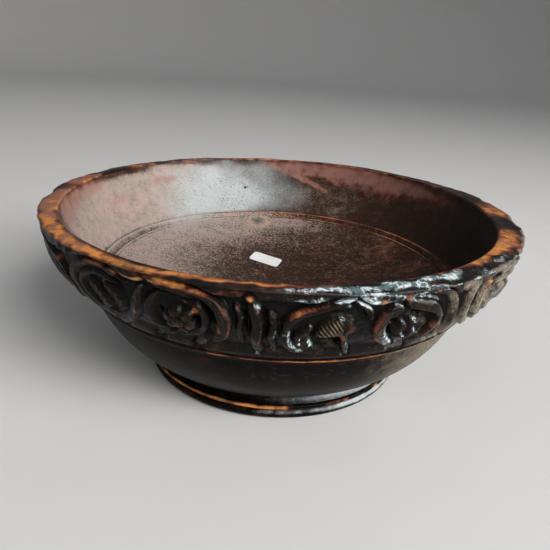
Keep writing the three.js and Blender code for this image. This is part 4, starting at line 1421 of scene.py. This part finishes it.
class BOWL_OT_body(bpy.types.Operator):
    """Build the turned and carved bowl in place of its plain solid"""
    bl_idname = "bowl.body"
    bl_label = "Carved bowl"

    def execute(self, context):
        scene = context.scene
        finish = scene.bowl_finish
        materials = [
            aged_wood("dished floor wood", finish, finish.stain, DISH_LOOK, INSIDE_SPOTS),
            aged_wood("hollow wall wood", finish, finish.stain, WALL_LOOK, INSIDE_SPOTS),
            aged_wood("rim wood", finish, finish.varnish, RIM_LOOK),
            aged_wood("carved wood", finish, finish.varnish, CARVED_LOOK),
            aged_wood("turned wood", finish, scaled(finish.varnish, TURNED_SHADE), TURNED_LOOK),
        ]
        show_piece(build_bowl(scene.bowl_sizes, materials), "bowl_body")
        return {"FINISHED"}


class BOWL_OT_foot(bpy.types.Operator):
    """Build the turned foot ring in place of its plain solid"""
    bl_idname = "bowl.foot"
    bl_label = "Foot ring"

    def execute(self, context):
        finish = context.scene.bowl_finish
        material = aged_wood("foot wood", finish, scaled(finish.varnish, TURNED_SHADE), TURNED_LOOK)
        show_piece(build_foot(context.scene.bowl_sizes, material), "foot_ring")
        return {"FINISHED"}


class BOWL_OT_label(bpy.types.Operator):
    """Lay the blank paper label on the floor of the hollow"""
    bl_idname = "bowl.label"
    bl_label = "Blank label"

    def execute(self, context):
        piece = build_label(label_paper(context.scene.bowl_finish))
        show_piece(piece, "paper_label")
        return {"FINISHED"}


def floor_material(colour):
    bench = Bench("plain floor")
    cloud = bench.noise(bench.place, 60, 3)
    shade = bench.shade(tuple(colour), bench.ramp(cloud, 0.3, 0.7, 0.985, 1.0))
    bench.shader.inputs["Specular IOR Level"].default_value = 0.1
    return bench.close(shade, bench.ramp(cloud, 0.3, 0.7, 0.88, 0.92), bench.times(cloud, 0.02))


def build_floor(stage):
    """A round floor that rises smoothly all round, so that it is its own backdrop."""
    radius = stage.floor_radius / MM
    profile = [(radius * share, 0) for share in (0.1, 0.3, 0.6, 0.85, 1)]
    profile += [(radius + FLOOR_BEND * math.sin(angle), FLOOR_BEND * (1 - math.cos(angle)))
                for angle in np.linspace(0, math.radians(90), 14)[1:]]
    profile = np.array([*profile, (radius + FLOOR_BEND, BACKDROP_HEIGHT)], float)
    rings = oval(np.linspace(0, 360, FLOOR_COLUMNS, endpoint=False), *profile.T)
    faces = fan(0, 1, FLOOR_COLUMNS, True)
    for row in range(len(rings) - 1):
        start = 1 + row * FLOOR_COLUMNS
        faces += bridge(start, FLOOR_COLUMNS, start + FLOOR_COLUMNS, FLOOR_COLUMNS)
    points = np.vstack([np.zeros((1, 3)), rings.reshape(-1, 3)])
    material = floor_material(stage.floor_colour)
    return new_piece("plain_floor", points, faces, [0] * len(faces), [material], {})


def soft_light(kind, power):
    """A square light that faces the middle of the bowl, with its beam held together to spread degrees."""
    light = bpy.data.lights.new(kind.name, "AREA")
    light.energy = power
    light.size = kind.size
    light.spread = math.radians(kind.spread)
    lamp = bpy.data.objects.new(kind.name, light)
    turn, lift, distance = math.radians(kind.azimuth), math.radians(kind.elevation), kind.distance
    middle = (CAD_HIGH.z + CAD_LOW.z) / 2
    lamp.location = (distance * math.sin(turn) * math.cos(lift), -distance * math.cos(turn) * math.cos(lift),
                     middle + distance * math.sin(lift))
    lamp.rotation_euler = Euler((math.radians(90) - lift, 0, turn))
    bpy.context.scene.collection.objects.link(lamp)


def room_light(strength):
    world = bpy.data.worlds.new("room")
    world.use_nodes = True
    background = world.node_tree.nodes["Background"]
    background.inputs["Color"].default_value = (*ROOM_COLOUR, 1.0)
    background.inputs["Strength"].default_value = strength
    bpy.context.scene.world = world


# Lights: their size and distance in metres, and their angles in degrees
KEY_LIGHT = SoftLight("key light", 1.6, 40, 34, 3.0, 90)
FILL_LIGHT = SoftLight("fill light", 2.4, -70, 40, 3.2, 180)
SIDE_LIGHT = SoftLight("side light", 1.2, 66, 17, 2.8, 60)

# Camera: its place in metres, and its tilt, roll and turn in degrees
CAMERA_PLACE = (0.0, -0.35265, 0.20369)
CAMERA_ANGLES = (67.354, -3.152, 1.583)
CAMERA_LENS = 36.0
SENSOR_WIDTH = 36.0


def place_camera():
    camera = bpy.data.cameras.new("camera")
    camera.lens = CAMERA_LENS
    camera.sensor_width = SENSOR_WIDTH
    camera.clip_start = 0.01
    holder = bpy.data.objects.new("camera", camera)
    holder.location = CAMERA_PLACE
    holder.rotation_euler = Euler([math.radians(angle) for angle in CAMERA_ANGLES])
    bpy.context.scene.collection.objects.link(holder)
    bpy.context.scene.camera = holder


class BOWL_OT_stage(bpy.types.Operator):
    """Set up the plain floor, the soft lights and the camera"""
    bl_idname = "bowl.stage"
    bl_label = "Floor, light and camera"

    def execute(self, context):
        stage = context.scene.bowl_stage
        build_floor(stage)
        soft_light(KEY_LIGHT, stage.key_power)
        soft_light(FILL_LIGHT, stage.fill_power)
        soft_light(SIDE_LIGHT, stage.side_power)
        room_light(stage.room_light)
        place_camera()
        context.scene.view_settings.view_transform = "Standard"
        return {"FINISHED"}


class BOWL_PT_panel(bpy.types.Panel):
    """Sizes, finish and building steps of the bowl"""
    bl_idname = "BOWL_PT_panel"
    bl_label = "Carved wooden bowl"
    bl_space_type = "VIEW_3D"
    bl_region_type = "UI"
    bl_category = "Bowl"

    def draw(self, context):
        for group in (context.scene.bowl_sizes, context.scene.bowl_finish, context.scene.bowl_stage):
            box = self.layout.box()
            for key in group.__annotations__:
                box.prop(group, key)
        for operator in OPERATORS:
            self.layout.operator(operator.bl_idname)


GROUPS = {"bowl_sizes": BowlSizes, "bowl_finish": BowlFinish, "bowl_stage": BowlStage}
OPERATORS = (BOWL_OT_body, BOWL_OT_foot, BOWL_OT_label, BOWL_OT_stage)


def register():
    for group in (*GROUPS.values(), *OPERATORS, BOWL_PT_panel):
        bpy.utils.register_class(group)
    for key, group in GROUPS.items():
        setattr(bpy.types.Scene, key, PointerProperty(type=group))


def unregister():
    for key in GROUPS:
        delattr(bpy.types.Scene, key)
    for group in (BOWL_PT_panel, *reversed(OPERATORS), *GROUPS.values()):
        bpy.utils.unregister_class(group)


def main():
    register()
    bpy.ops.bowl.body()
    bpy.ops.bowl.foot()
    bpy.ops.bowl.label()
    bpy.ops.bowl.stage()


if __name__ == "__main__":
    main()
